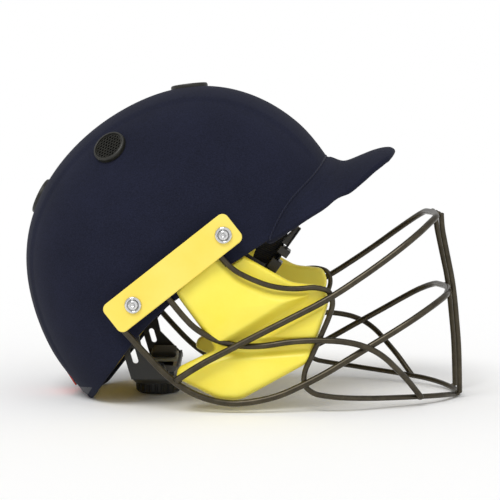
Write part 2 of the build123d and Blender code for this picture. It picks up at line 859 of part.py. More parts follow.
band_low_x = cradle_x - cradle_band_width / 2
band_high_x = cradle_x + cradle_band_width / 2
band_top_radius = cradle_arc_radius - cradle_wall
knob_top_z = cradle_base_z - knob_gap
arm_end_z = arc_centre_z - (cradle_arc_radius**2 - cradle_half_width**2) ** 0.5
with BuildPart() as cradle_frame:
    add(arc_band(cradle_arc_radius, cradle_wall, cradle_half_width, band_low_x, band_high_x))
    with BuildSketch(Plane.XY.offset(cradle_base_z)):
        with Locations((cradle_x, 0)):
            Circle(cradle_hub_diameter / 2)
    extrude(amount=cradle_wall)
    for low_x in (band_low_x, band_high_x - cradle_lip_width):
        add(arc_band(band_top_radius, cradle_lip_height, cradle_lip_end_y, low_x, low_x + cradle_lip_width))
    with BuildSketch(Plane.XZ.offset(-cradle_half_width)) as arm_outline:
        with Locations((arm_middle_x, arm_middle_z), (pivot_x, pivot_z)):
            Circle(arm_width / 2)
        make_hull()
    extrude(amount=-cradle_wall)
    with BuildSketch(Plane.XZ.offset(-cradle_half_width)) as arm_root:
        with Locations((arm_middle_x, arm_middle_z)):
            Circle(arm_width / 2)
        with Locations((cradle_x, arm_end_z)):
            Rectangle(cradle_band_width, cradle_wall)
        make_hull()
    extrude(amount=-cradle_wall)
    with BuildSketch(Plane.XZ.offset(-cradle_half_width)):
        with Locations((arm_middle_x, arm_middle_z)):
            SlotOverall(arm_slot_length, arm_slot_width, rotation=-arm_slot_turn)
        with Locations((pivot_x, pivot_z)):
            Circle(pivot_pin / 2 + pivot_fit)
    extrude(amount=-cradle_wall, mode=Mode.SUBTRACT)
    mirror(about=Plane.XZ)
    with BuildSketch(Plane.XY.offset(knob_top_z)):
        with Locations((cradle_x, 0)):
            Circle(axle_diameter / 2 + axle_fit)
    extrude(amount=cradle_wall + 2 * knob_gap, mode=Mode.SUBTRACT)
save(cradle_frame.part, "cradle_frame")


def side_stud(spot_x, spot_z, pin, shoulder, head_height, inner_y, wall):
    """Stud from the shell inwards: shoulder, pin through a wall of this thickness, head."""
    pin_start_y = inner_y + head_height
    shoulder_y = pin_start_y + wall + 2 * pivot_gap
    with BuildPart() as stud:
        for diameter, start_y, end_y in (
            (shoulder, inner_y, pin_start_y),
            (pin, pin_start_y, shoulder_y),
            (shoulder, shoulder_y, pivot_root_y),
        ):
            with BuildSketch(side_plane(start_y)):
                with Locations((-spot_x, spot_z)):
                    Circle(diameter / 2)
            extrude(amount=end_y - start_y)
        add(dome_form(shell_depth + shell_wall + layer_gap), mode=Mode.INTERSECT)
    return stud.part


pivot_inner_y = cradle_half_width - pivot_gap - pivot_head_height
pivot_stud = side_stud(
    pivot_x, pivot_z, pivot_pin, pivot_head, pivot_head_height, pivot_inner_y, cradle_wall
)
save(pivot_stud + mirrored(pivot_stud), "pivot_studs")

# Dial, axle with a square drive, pinion and screw
pinion_low_z = cradle_base_z + cradle_wall + knob_gap
pinion_high_z = pinion_low_z + pinion_height
with BuildPart() as adjuster_knob:
    with BuildSketch(Plane.XY.offset(knob_top_z)):
        with Locations((cradle_x, 0)):
            Circle(knob_diameter / 2)
    extrude(amount=-knob_height)
    chamfer(adjuster_knob.faces().sort_by(Axis.Z)[0].edges(), knob_chamfer)
    with BuildSketch(Plane.XY.offset(knob_top_z)):
        with Locations((cradle_x, 0)):
            with PolarLocations(knob_diameter / 2, knob_flutes):
                Circle(knob_flute_diameter / 2)
    extrude(amount=-knob_height, mode=Mode.SUBTRACT)
    with BuildSketch(Plane.XY.offset(knob_top_z)):
        with Locations((cradle_x, 0)):
            Circle(axle_diameter / 2)
    extrude(amount=pinion_low_z - knob_top_z)
    with BuildSketch(Plane.XY.offset(pinion_low_z)):
        with Locations((cradle_x, 0)):
            Rectangle(drive_width, drive_width)
    extrude(amount=pinion_height)
    with BuildSketch(Plane.XY.offset(pinion_high_z)):
        with Locations((cradle_x, 0)):
            Circle(screw_diameter / 2 + drive_fit)
    extrude(amount=-screw_length - drive_fit, mode=Mode.SUBTRACT)
save(adjuster_knob.part, "adjuster_knob")

pitch_radius = tooth_module * pinion_teeth / 2
tooth_pitch = pi * tooth_module
flank_slope = tan(radians(pressure_angle))
half_tooth = tooth_pitch / 4 - tooth_slack / 2


def pinion_flank(base_radius, radius):
    """Angle of an involute flank at this radius, from where it leaves its base circle."""
    roll = ((radius / base_radius) ** 2 - 1) ** 0.5
    return roll - atan(roll)


def pinion_tooth_points():
    """One side of a tooth from root to tip, and back down the other side."""
    base_radius = pitch_radius * cos(radians(pressure_angle))
    at_pitch = pinion_flank(base_radius, pitch_radius)
    half_angle = half_tooth / pitch_radius
    tip_radius = pitch_radius + tooth_addendum
    radii = [base_radius, (base_radius + pitch_radius) / 2, pitch_radius,
             pitch_radius + tooth_addendum / 2, tip_radius]
    side = [(radius, half_angle + at_pitch - pinion_flank(base_radius, radius)) for radius in radii]
    side = [(pitch_radius - tooth_dedendum * 2, side[0][1])] + side
    up = [(radius * cos(turn), -radius * sin(turn)) for radius, turn in side]
    return up + [(x, -y) for x, y in reversed(up)]


with BuildPart() as pinion:
    with BuildSketch(Plane.XY.offset(pinion_low_z)):
        with Locations((cradle_x, 0)):
            Circle(pitch_radius - tooth_dedendum)
            with PolarLocations(0, pinion_teeth):
                Polygon(*pinion_tooth_points(), align=None)
            Rectangle(drive_width + 2 * drive_fit, drive_width + 2 * drive_fit, mode=Mode.SUBTRACT)
    extrude(amount=pinion_height)
save(pinion.part, "pinion")

with BuildPart() as knob_screw:
    with BuildSketch(Plane.XY.offset(pinion_high_z)):
        with Locations((cradle_x, 0)):
            Circle(screw_head / 2)
    extrude(amount=screw_head_height)
    with BuildSketch(Plane.XY.offset(pinion_high_z)):
        with Locations((cradle_x, 0)):
            Circle(screw_diameter / 2)
    extrude(amount=-screw_length)
save(knob_screw.part, "knob_screw")

cover_radius = band_top_radius - cradle_lip_height - cover_gap
with BuildPart() as adjuster_cover:
    add(arc_band(cover_radius, cover_wall, cradle_hub_diameter / 2, band_low_x, band_high_x))
    with BuildSketch(Plane.XY):
        with Locations((cradle_x, 0)):
            Circle(cradle_hub_diameter / 2)
            Circle(cover_hole / 2, mode=Mode.SUBTRACT)
    extrude(amount=cradle_arc_radius, mode=Mode.INTERSECT)
save(adjuster_cover.part, "adjuster_cover")

# Curved racks; the left one runs on the front of the pinion, the right one behind it
rack_low_radius = band_top_radius - rack_gap
rack_high_radius = rack_low_radius - rack_thickness
rack_pitch_radius = rack_low_radius - rack_thickness / 2
rack_back = pitch_radius + tooth_dedendum
carrier_radius = band_top_radius - cradle_lip_height - strap_gap


def arc_wedge(start_y, end_y):
    """Block between two distances along the band, for cutting arcs to length."""
    return pad_block(band_low_x - overrun, band_high_x + overrun, start_y, end_y, 0, cradle_arc_radius / 2)


def rack_tooth_plane(step):
    """Plane on the rack's low face at this many teeth from the middle."""
    turn = step * tooth_pitch / rack_pitch_radius
    inwards = Vector(0, -sin(turn), cos(turn))
    spot = Vector(cradle_x, 0, arc_centre_z) - inwards * rack_low_radius
    return Plane(origin=spot, x_dir=(1, 0, 0), z_dir=inwards)


tip_half = half_tooth - tooth_addendum * flank_slope
root_half = half_tooth + tooth_dedendum * flank_slope
rack_tip = pitch_radius - tooth_addendum
rack_x = cradle_x + rack_back
rack_far_x = rack_x + rack_body_width
with BuildPart() as rack:
    add(arc_band(rack_low_radius, rack_thickness, rack_outer_end, rack_x, rack_far_x))
    add(arc_wedge(-rack_inner_end, rack_outer_end), mode=Mode.INTERSECT)
    for step in range(-rack_teeth_inwards, rack_teeth_outwards):
        with BuildSketch(rack_tooth_plane(step + 1 / 2)):
            Polygon(
                (rack_back + rack_body_width / 2, -root_half),
                (rack_back, -root_half),
                (rack_tip, -tip_half),
                (rack_tip, tip_half),
                (rack_back, root_half),
                (rack_back + rack_body_width / 2, root_half),
                align=None,
            )
        extrude(amount=rack_thickness)
rack_strip = rack.part
with BuildPart() as rack_carrier:
    add(arc_band(rack_high_radius, rack_high_radius - carrier_radius, rack_outer_end, rack_x, rack_far_x))
    plate_low_x = cradle_x - rack_plate_width / 2
    add(
        arc_band(
            carrier_radius,
            rack_plate_wall,
            rack_outer_end,
            plate_low_x,
            plate_low_x + rack_plate_width,
        )
    )
    add(arc_wedge(rack_plate_start, rack_outer_end), mode=Mode.INTERSECT)
rack_left = rack_strip + rack_carrier.part
turned_round = Axis((cradle_x, 0, 0), (0, 0, 1))
save(rack_left, "rack_left")
save(rack_left.rotate(turned_round, 180), "rack_right")

pad_low_radius = carrier_radius - rack_plate_wall - layer_gap
with BuildPart() as band_pad:
    add(
        arc_band(
            pad_low_radius,
            band_pad_thickness,
            rack_outer_end,
            plate_low_x,
            plate_low_x + rack_plate_width,
        )
    )
    add(arc_wedge(rack_plate_start, rack_outer_end), mode=Mode.INTERSECT)
    fillet(band_pad.edges().group_by(Axis.X)[0] + band_pad.edges().group_by(Axis.X)[-1], pad_gap * 5)
save(band_pad.part, "band_pad_left")
save(mirrored(band_pad.part), "band_pad_right")

# Chin strap: webbing, side-release buckle, slider, ribbed tab and chin pad
lean_along = Vector(cos(radians(buckle_lean)), 0, sin(radians(buckle_lean)))
lean_across = Vector(-lean_along.Z, 0, lean_along.X)
buckle_middle = Vector(buckle_x, strap_y, buckle_z)


def strap_block(start, end, width, low, high):
    """Block on the leaning strap line, between distances along it and across it."""
    plane = Plane(origin=buckle_middle + lean_along * start, x_dir=(0, 1, 0), z_dir=lean_along)
    with BuildPart() as block:
        with BuildSketch(plane):
            with Locations((0, -(low + high) / 2)):
                Rectangle(width, high - low)
        extrude(amount=end - start)
    return block.part


half_height = buckle_height / 2
inner_half_height = half_height - buckle_wall
inner_width = buckle_width - 2 * buckle_wall
slot_width = strap_width + webbing_slot_inset / 2
slot_start = socket_start + webbing_slot_inset
with BuildPart() as buckle_socket:
    add(strap_block(socket_start, socket_end, buckle_width, -half_height, half_height))
    chamfer(buckle_socket.edges(), buckle_wall / 3)
    add(
        strap_block(
            socket_start + socket_floor,
            socket_end + overrun,
            inner_width,
            -inner_half_height,
            inner_half_height,
        ),
        mode=Mode.SUBTRACT,
    )
    add(
        strap_block(slot_start, slot_start + webbing_slot, slot_width, -buckle_height, buckle_height),
        mode=Mode.SUBTRACT,
    )
save(buckle_socket.part, "buckle_socket")

plug_start = socket_end + plug_gap
plug_end = plug_start + plug_length
prong_half_height = inner_half_height - plug_gap
plug_slot_start = plug_end - webbing_slot_inset - webbing_slot
with BuildPart() as buckle_plug:
    add(strap_block(plug_start, plug_end, buckle_width, -half_height, half_height))
    chamfer(buckle_plug.edges(), buckle_wall / 3)
    prongs = strap_block(
        plug_start - prong_length,
        plug_start + prong_width,
        inner_width - 2 * plug_gap,
        -prong_half_height,
        prong_half_height,
    )
    prong_space = strap_block(
        plug_start - prong_length - overrun,
        plug_start,
        inner_width - 2 * plug_gap - 2 * prong_width,
        -buckle_height,
        buckle_height,
    )
    guide = strap_block(
        plug_start - prong_length / 2,
        plug_start + prong_width,
        prong_width,
        -prong_half_height,
        prong_half_height,
    )
    add(prongs - prong_space)
    add(guide)
    add(
        strap_block(plug_slot_start, plug_slot_start + webbing_slot, slot_width, -buckle_height, buckle_height),
        mode=Mode.SUBTRACT,
    )
save(buckle_plug.part, "buckle_plug")

half_web = strap_thickness / 2
slider_end = slider_start + slider_length
with BuildPart() as strap_slider:
    add(strap_block(slider_start, slider_end, buckle_width, -slider_height / 2, slider_height / 2))
    chamfer(strap_slider.edges(), buckle_wall / 3)
    add(
        strap_block(
            slider_start - overrun, slider_end + overrun, slot_width, -slider_slot / 2, slider_slot / 2
        ),
        mode=Mode.SUBTRACT,
    )
save(strap_slider.part, "strap_slider")

tail_start = plug_end + strap_gap
save(strap_block(tail_start, tail_end, strap_width, -half_web, half_web), "strap_tail")

tab_plane = Plane(
    origin=buckle_middle + lean_along * tab_start + lean_across * (half_web + strap_gap) - Vector(0, strap_width / 2, 0),
    x_dir=lean_along,
    z_dir=(0, 1, 0),
)
tab_run = tail_end - tab_start
with BuildPart() as strap_tab:
    with BuildSketch(tab_plane):
        Polygon((0, 0), (0, -tab_height), (tab_run, -tab_end_height), (tab_run, 0), align=None)
    extrude(amount=strap_width)
    for rib in range(tab_ribs):
        rib_middle = (rib + 1) * strap_width / (tab_ribs + 1)
        with BuildSketch(Plane(
            origin=tab_plane.origin + Vector(0, rib_middle - tab_rib_height, 0),
            x_dir=lean_along,
            z_dir=(0, 1, 0),
        )):
            Polygon(
                (tab_run / 8, -tab_height / 2),
                (tab_run / 8, -tab_height - tab_rib_height),
                (tab_run * 7 / 8, -tab_end_height - tab_rib_height),
                (tab_run * 7 / 8, 0),
                align=None,
            )
        extrude(amount=2 * tab_rib_height)
save(strap_tab.part, "strap_tab")

# Long web: a ribbon that hangs from the left stud to the underside of the chin pad
half_strap = strap_width / 2
chin_low_z = chin_z - chin_pad_thickness / 2
web_low_z = chin_low_z - strap_gap - half_web
chin_left_y = chin_pad_y + chin_pad_length / 2
with BuildPart() as strap_left:
    with BuildSketch(Plane.YZ.offset(anchor_x - half_strap)):
        with BuildLine():
            FilletPolyline(
                (strap_web_y, anchor_z + half_strap),
                (strap_web_y, strap_turn_z),
                (chin_left_y, web_low_z),
                (chin_pad_y, web_low_z),
                radius=[strap_width / 2, strap_width / 2],
            )
        trace(line_width=strap_thickness)
    extrude(amount=strap_width)
    with BuildSketch(side_plane(0)):
        with Locations((-anchor_x, anchor_z)):
            Circle(anchor_pin / 2 + anchor_fit)
    extrude(amount=dome_half_width, mode=Mode.SUBTRACT)
save(strap_left.part, "strap_left")

# Short web: a ribbon whose width lies along the buckle, from the right stud on to the socket
anchor_offset = Vector(anchor_x, 0, anchor_z) - Vector(buckle_x, 0, buckle_z)
anchor_along = anchor_offset.dot(lean_along)
anchor_across = anchor_offset.dot(lean_across)
web_rise = half_height + strap_gap + half_web
with BuildPart() as strap_right:
    with BuildSketch(
        Plane(
            origin=Vector(buckle_x, 0, buckle_z) + lean_along * (anchor_along - half_strap),
            x_dir=(0, 1, 0),
            z_dir=lean_along,
        )
    ):
        with BuildLine():
            FilletPolyline(
                (-strap_web_y, anchor_across + half_strap),
                (-strap_web_y, anchor_across - right_drop),
                (strap_y - buckle_width / 2, web_rise),
                (strap_y, web_rise),
                radius=[half_strap, half_strap],
            )
        trace(line_width=strap_thickness)
    extrude(amount=strap_width)
    with BuildSketch(side_plane(-dome_half_width)):
        with Locations((-anchor_x, anchor_z)):
            Circle(anchor_pin / 2 + anchor_fit)
    extrude(amount=dome_half_width / 2, mode=Mode.SUBTRACT)
save(strap_right.part, "strap_right")

web_start = socket_start - strap_gap
web_top_z = chin_z + chin_pad_thickness / 2 + strap_gap
with BuildPart() as socket_web:
    add(strap_block(web_start - dome_reach, web_start, strap_width, -half_web, half_web))
    add(pad_block(-dome_reach, dome_reach, -dome_reach, 0, web_top_z, dome_reach), mode=Mode.INTERSECT)
save(socket_web.part, "socket_web")

with BuildPart() as chin_pad:
    with BuildSketch(Plane.XY.offset(chin_z - chin_pad_thickness / 2)):
        with Locations((chin_x, chin_pad_y)):
            RectangleRounded(chin_pad_width, chin_pad_length, chin_pad_width / 3)
    extrude(amount=chin_pad_thickness)
    fillet(chin_pad.edges().group_by(Axis.Z)[-1], chin_pad_edge)
    fillet(chin_pad.edges().group_by(Axis.Z)[0], chin_pad_edge)
save(chin_pad.part, "chin_pad")

anchor_stud = side_stud(
    anchor_x, anchor_z, anchor_pin, anchor_head, anchor_head_height, anchor_inner_y, strap_thickness
)
save(anchor_stud + mirrored(anchor_stud), "anchor_studs")
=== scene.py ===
"""Cricket helmet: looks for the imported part, in metres, in the part's own frame.

The shell's cloth, the peak, the ventilation caps, the grille, the cheek guards, the
webbing and the pads are built here; the other pieces keep their solids and get
materials.
"""
import itertools
import json
import math

import bmesh
import bpy
import numpy as np
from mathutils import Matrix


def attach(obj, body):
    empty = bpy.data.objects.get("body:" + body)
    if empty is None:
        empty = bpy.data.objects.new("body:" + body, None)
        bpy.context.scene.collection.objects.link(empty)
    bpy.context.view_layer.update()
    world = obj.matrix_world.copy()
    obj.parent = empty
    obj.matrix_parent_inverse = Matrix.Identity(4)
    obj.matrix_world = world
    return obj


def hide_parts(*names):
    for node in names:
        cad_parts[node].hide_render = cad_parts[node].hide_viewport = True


bl_info = {
    "name": "Cricket Helmet Builder",
    "version": (1, 0, 0),
    "blender": (4, 5, 0),
    "location": "View3D > Sidebar > Helmet",
    "description": "Builds the cloth, grille, guards, pads and stage of a cricket helmet",
    "category": "Add Mesh",
}

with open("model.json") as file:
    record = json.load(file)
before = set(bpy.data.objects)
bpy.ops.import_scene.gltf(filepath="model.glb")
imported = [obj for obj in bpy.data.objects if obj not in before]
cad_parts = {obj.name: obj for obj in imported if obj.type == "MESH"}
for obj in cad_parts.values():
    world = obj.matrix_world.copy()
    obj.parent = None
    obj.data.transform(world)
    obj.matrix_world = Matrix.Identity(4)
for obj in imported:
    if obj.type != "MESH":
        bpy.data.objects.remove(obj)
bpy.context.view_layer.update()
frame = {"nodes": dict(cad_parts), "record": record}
MM = 0.001
HELMET = "helmet"

# Arches that fan out round a crosswise line give the shell's form, in millimetres
FAN_X, FAN_Z, FAN_FOOT = -30.0, 80.0, 7.0
ARCH_SHARE = 0.66
FAN_TURNS = np.array([18, 42, 66, 90, 114, 138, 162, 186, 210, 236], float)
REACH_SHARES = np.array([0.796, 0.861, 0.948, 1.0, 0.976, 0.949, 0.915, 0.843, 0.790, 0.762])
# The rim in the side view: up from the floor at the rear, then straight to the peak's tip
RIM_KNEE_X, RIM_KNEE_Z = -51.0, 80.0
RIM_TIP_X, RIM_TIP_Z = 117.5, 188.0
RIM_POINTS = np.array([(-117, 0), (-74, 57), (RIM_KNEE_X, RIM_KNEE_Z), (RIM_TIP_X, RIM_TIP_Z)], float)
RIM_SLOPE = (RIM_TIP_Z - RIM_KNEE_Z) / (RIM_TIP_X - RIM_KNEE_X)
MIRROR = np.array([1.0, -1.0, 1.0])


# Colour, nodes and meshes

def linear(text):
    """Linear colour of an sRGB hex value: each channel c becomes ((c + 0.055) / 1.055) ^ 2.4."""
    channels = np.array([int(text[i:i + 2], 16) / 255 for i in (1, 3, 5)])
    curve = np.where(channels <= 0.04045, channels / 12.92, ((channels + 0.055) / 1.055) ** 2.4)
    return (*curve.tolist(), 1.0)


def add_node(tree, kind, settings=None, links=None):
    """Adds a node: settings are its properties or socket values, links what feeds its sockets."""
    node = tree.nodes.new(kind)
    for key, value in (settings or {}).items():
        if isinstance(key, str) and hasattr(node, key):
            setattr(node, key, value)
        else:
            node.inputs[key].default_value = value
    for key, source in (links or {}).items():
        tree.links.new(source, node.inputs[key])
    return node


def surface_material(name, traits):
    """Material whose tone runs between two colours by a slow noise and a fine pattern; the
    fine pattern also raises the surface. A tone is a hex value or a name in COLOURS."""
    material = bpy.data.materials.new(name)
    material.use_nodes = True
    tree = material.node_tree
    tree.nodes.clear()
    shader = add_node(tree, "ShaderNodeBsdfPrincipled", traits["shader"])
    add_node(tree, "ShaderNodeOutputMaterial", links={"Surface": shader.outputs["BSDF"]})
    place = add_node(tree, "ShaderNodeTexCoord").outputs[traits.get("coordinates", "Object")]
    turn, stretch = traits.get("turn", (0.0, 0.0, 0.0)), traits.get("stretch", (1.0, 1.0, 1.0))
    turned = add_node(tree, "ShaderNodeMapping", {"Rotation": turn, "Scale": stretch}, {"Vector": place})
    blotches = {"Scale": 1.0 / (traits["blotch_mm"] * MM), "Detail": 3.0}
    slow = add_node(tree, NOISE, blotches, {"Vector": place})
    kind, size_mm, *settings = traits["fine"]
    pattern = {"Scale": 1.0 / (size_mm * MM), **(settings[0] if settings else {})}
    fine = add_node(tree, kind, pattern, {"Vector": turned.outputs["Vector"]}).outputs[FINE_OUTPUTS[kind]]
    both = add_node(
        tree, "ShaderNodeMix", {"data_type": "FLOAT", 0: traits["fine_share"]},
        {2: slow.outputs["Fac"], 3: fine})
    span = add_node(
        tree, "ShaderNodeMapRange", {"From Min": NOISE_LOW, "From Max": NOISE_HIGH},
        {"Value": both.outputs[0]})
    dark, light = (linear(COLOURS.get(tone, tone)) for tone in traits["tones"])
    tone = add_node(
        tree, "ShaderNodeMix", {"data_type": "RGBA", 6: dark, 7: light}, {0: span.outputs["Result"]})
    tree.links.new(tone.outputs[2], shader.inputs["Base Color"])
    raised = add_node(
        tree, "ShaderNodeBump", {"Strength": traits["strength"], "Distance": traits["height_mm"] * MM},
        {"Height": fine})
    tree.links.new(raised.outputs["Normal"], shader.inputs["Normal"])
    return material


NOISE, WAVE, CELLS = "ShaderNodeTexNoise", "ShaderNodeTexWave", "ShaderNodeTexVoronoi"
FINE_OUTPUTS = {NOISE: "Fac", WAVE: "Fac", CELLS: "Distance"}
# nearly all values of the noise lie between these
NOISE_LOW, NOISE_HIGH = 0.3, 0.7


def look(tones, blotch_mm, fine_share, fine, strength, height_mm, shader, **more):
    """What surface_material needs: two tones, the size of the slow blotches, the fine
    pattern's share in the tone, its kind and size in millimetres, and how it is raised."""
    return dict(tones=tones, blotch_mm=blotch_mm, fine_share=fine_share, fine=fine,
                strength=strength, height_mm=height_mm, shader=shader, **more)


LOOKS = {
    # brushed twill polyester, woven: no gloss, a soft sheen at grazing angles, fine slanting
    # ribs; real ribs are 0.3 mm apart, drawn at 1 mm so that they show
    "twill_polyester": look(
        ("cloth_dark", "cloth_light"), 30.0, 0.8, (NOISE, 1.0, {"Detail": 4.0, "Roughness": 0.7}), 0.3, 0.2,
        {"Roughness": 0.92, "Sheen Weight": 0.03, "Sheen Roughness": 0.5, "Specular IOR Level": 0.12},
        stretch=(1.0, 1.0, 1.6), turn=(0.0, 0.7, 0.0)),
    # piping of the same cloth, folded and stitched into the peak's seam: tighter ribs
    "folded_tape": look(
        ("#141622", "#20243A"), 9.0, 0.6, (WAVE, 4.0, {"Distortion": 2.0}), 0.4, 0.2,
        {"Roughness": 0.85, "Sheen Weight": 0.1, "Specular IOR Level": 0.25}),
    # injection-moulded polypropylene shell: satin, with faint flow marks
    "moulded_shell": look(
        ("#1B1D26", "#252833"), 30.0, 0.2, (NOISE, 0.9), 0.2, 0.03, {"Roughness": 0.5}),
    # bead foam pressed in a mould: 3 mm beads with darker joints, matt
    "bead_foam": look(
        ("#F0D63C", "#C9A81E"), 18.0, 0.9, (CELLS, 3.0), 0.5, -0.3,
        {"Roughness": 0.75, "Specular IOR Level": 0.3}),
    # brushed knit over foam: a soft nap of 1.2 mm loops that lightens at the edges
    "knitted_pad": look(
        ("#121317", "#1F2127"), 9.0, 0.3, (CELLS, 1.2), 0.4, 0.25,
        {"Roughness": 0.92, "Sheen Weight": 0.3, "Sheen Roughness": 0.5}),
    # soft vinyl patch, pressed: bright and half matt
    "pressed_vinyl": look(
        ("#E03A26", "#F04B34"), 12.0, 0.2, (NOISE, 1.2), 0.3, 0.05, {"Roughness": 0.45}),
    # dull black nylon of the ventilation caps, moulded: low shine on the raised edge
    "vent_nylon": look(
        ("#14140F", "#24231B"), 8.0, 0.3, (NOISE, 0.8), 0.25, 0.04, {"Roughness": 0.42}),
    # yellow plate, punched from satin sheet: even colour, a clear but soft reflection
    "satin_plate": look(
        ("plate_dark", "plate_light"), 40.0, 0.15, (NOISE, 1.4), 0.15, 0.03,
        {"Roughness": 0.36, "Coat Weight": 0.15, "Coat Roughness": 0.2}),
    # skinned yellow foam guard, moulded: pillow-like panels with a soft shine
    "skinned_guard": look(
        ("guard_dark", "guard_light"), 26.0, 0.2, (NOISE, 1.1, {"Detail": 4.0}), 0.2, 0.08,
        {"Roughness": 0.38, "Coat Weight": 0.1, "Coat Roughness": 0.3, "Subsurface Weight": 0.05}),
    # pressed stainless steel of the brackets, brushed: a broad streaky shine
    "brushed_steel": look(
        ("#8C8A84", "#A5A29A"), 10.0, 0.5, (NOISE, 1.0), 0.15, 0.02,
        {"Metallic": 1.0, "Roughness": 0.34}, stretch=(0.2, 1.0, 3.0)),
    # chrome-plated steel bolts and washers, turned and polished: mirror bright
    "chrome": look(
        ("#D2D2D2", "#E4E4E4"), 4.0, 0.3, (NOISE, 0.8), 0.05, 0.01, {"Metallic": 1.0, "Roughness": 0.1}),
    # zinc-plated nuts and screws, cut: greyer and duller than chrome
    "zinc": look(
        ("#9C9C9A", "#B4B4B0"), 4.0, 0.4, (NOISE, 0.8), 0.1, 0.02, {"Metallic": 1.0, "Roughness": 0.3}),
    # moulded rubber spacers: dead matt black
    "rubber": look(
        ("#0E0E10", "#18181B"), 6.0, 0.3, (NOISE, 1.0), 0.2, 0.04,
        {"Roughness": 0.85, "Specular IOR Level": 0.3}),
    # round steel wire, bent, welded and dipped in a dark pearl coat: half metallic, with
    # small runs and pits in the coat
    "pearl_wire": look(
        ("#39342A", "#544D3E"), 7.0, 0.4, (NOISE, 1.2), 0.25, 0.06,
        {"Metallic": 0.85, "Roughness": 0.36, "Coat Weight": 0.12, "Coat Roughness": 0.25}),
    # black polypropylene of the cradle and dial, moulded: satin with soft lights
    "satin_black": look(
        ("#0D0D0B", "#1B1A16"), 14.0, 0.3, (NOISE, 0.9), 0.25, 0.04, {"Roughness": 0.4}),
    # glass-filled black nylon of the buckle, slider and tab, moulded: its brownish light tone
    # is a painted soft highlight, laid in random blotches by the noise
    "buckle_nylon": look(
        ("#15140F", "#37332A"), 5.0, 0.3, (NOISE, 0.8), 0.35, 0.06, {"Roughness": 0.34}),
    # natural acetal gear and racks, moulded: milky and smooth
    "milky_acetal": look(
        ("#BFBFB9", "#CDCDC8"), 10.0, 0.2, (NOISE, 0.9), 0.1, 0.02,
        {"Roughness": 0.35, "Subsurface Weight": 0.1}),
    # flat nylon webbing, woven: cross ribs 1.6 mm apart along the strap, dull
    "nylon_webbing": look(
        ("#101012", "#26262A"), 9.0, 0.8, (WAVE, 5.0, {"Distortion": 0.5}), 0.5, 0.25,
        {"Roughness": 0.75, "Sheen Weight": 0.15, "Sheen Roughness": 0.4}, coordinates="UV"),
}
SLOT_LOOKS = {
    "shell_cloth": "twill_polyester", "shell_plastic": "moulded_shell", "binding_tape": "folded_tape",
    "impact_foam": "bead_foam", "pad_cloth": "knitted_pad", "red_patch": "pressed_vinyl",
    "vent_plastic": "vent_nylon", "plate_plastic": "satin_plate", "guard_plastic": "skinned_guard",
    "bracket_steel": "brushed_steel", "bolt_steel": "chrome", "spacer_rubber": "rubber",
    "nut_steel": "zinc", "wire_coating": "pearl_wire", "cradle_plastic": "satin_black",
    "gear_plastic": "milky_acetal", "screw_steel": "zinc", "webbing": "nylon_webbing",
    "buckle_plastic": "buckle_nylon", "tab_plastic": "buckle_nylon", "chin_cloth": "knitted_pad",
    "stud_plastic": "satin_black",
}


def material_for(slot):
    """The material of a slot of the record, made once."""
    name = SLOT_LOOKS[slot]
    return bpy.data.materials.get(name) or surface_material(name, LOOKS[name])


def new_object(name, data):
    """Object at the origin, in the scene."""
    made = bpy.data.objects.new(name, data)
    bpy.context.scene.collection.objects.link(made)
    return made


def make_mesh(name, points_mm, faces, smooth=True, uv=None):
    """Piece from points in millimetres, faces and, if given, each point's place (along,
    across) in metres."""
    mesh = bpy.data.meshes.new(name)
    mesh.from_pydata((points_mm * MM).tolist(), [], [tuple(f) for f in faces])
    if mesh.validate() and not mesh.polygons:
        raise RuntimeError(f"{name} has no faces")
    mesh.update()
    if uv is not None:
        corners = np.empty(len(mesh.loops), int)
        mesh.loops.foreach_get("vertex_index", corners)
        mesh.uv_layers.new(name="along_strap").data.foreach_set("uv", uv[corners].ravel())
    mesh.polygons.foreach_set("use_smooth", np.full(len(mesh.polygons), smooth))
    return new_object(name, mesh)


def grid_faces(rows, columns, close_rows=False, close_columns=False, flip=False):
    """Faces between neighbouring rows and columns of a grid of points."""
    i = np.arange(rows if close_rows else rows - 1)
    j = np.arange(columns if close_columns else columns - 1)
    i, j = np.meshgrid(i, j, indexing="ij")
    a, b = i * columns + j, i * columns + (j + 1) % columns
    c, d = ((i + 1) % rows) * columns + (j + 1) % columns, ((i + 1) % rows) * columns + j
    return np.stack([a, d, c, b] if flip else [a, b, c, d], -1).reshape(-1, 4)


def closed_faces(rows, columns):
    """Faces of rings of points joined along a line, with one flat face at each end."""
    last = (rows - 1) * columns
    ends = [list(range(columns))[::-1], list(range(last, last + columns))]
    return grid_faces(rows, columns, close_columns=True).tolist() + ends


def join_sets(sets):
    """One array of points and one list of faces from several (points, faces) pairs."""
    points, faces, start = [], [], 0
    for own_points, own_faces in sets:
        points.append(own_points)
        faces.extend((np.array(f) + start).tolist() for f in own_faces)
        start += len(own_points)
    return np.concatenate(points), faces


# points this near to each other become one, in millimetres
MERGE, FINE_MERGE = 0.01, 0.001


def outward(piece, merge_mm=0.0):
    """Merges doubles and turns the faces of a closed mesh outwards."""
    work = bmesh.new()
    work.from_mesh(piece.data)
    if merge_mm:
        bmesh.ops.remove_doubles(work, verts=work.verts, dist=merge_mm * MM)
    bmesh.ops.recalc_face_normals(work, faces=work.faces)
    work.to_mesh(piece.data)
    work.free()
    piece.data.update()
    return piece


def skin(name, points, uv=None):
    """Closed piece from rings of points, rows of a grid, with a flat face at each end."""
    return outward(make_mesh(name, points.reshape(-1, 3), closed_faces(*points.shape[:2]), uv=uv))


def coordinates(mesh):
    """A mesh's points in millimetres."""
    co = np.empty(len(mesh.vertices) * 3)
    mesh.vertices.foreach_get("co", co)
    return co.reshape(-1, 3) / MM


def dress(piece, body, slot, *replaced):
    """Gives a new piece the material of its slot and its body, and hides the imported nodes that it
    replaces.
    """
    piece.data.materials.clear()
    piece.data.materials.append(material_for(slot))
    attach(piece, body)
    if replaced:
        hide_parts(*replaced)
    return piece


# Curves and the shell's surface

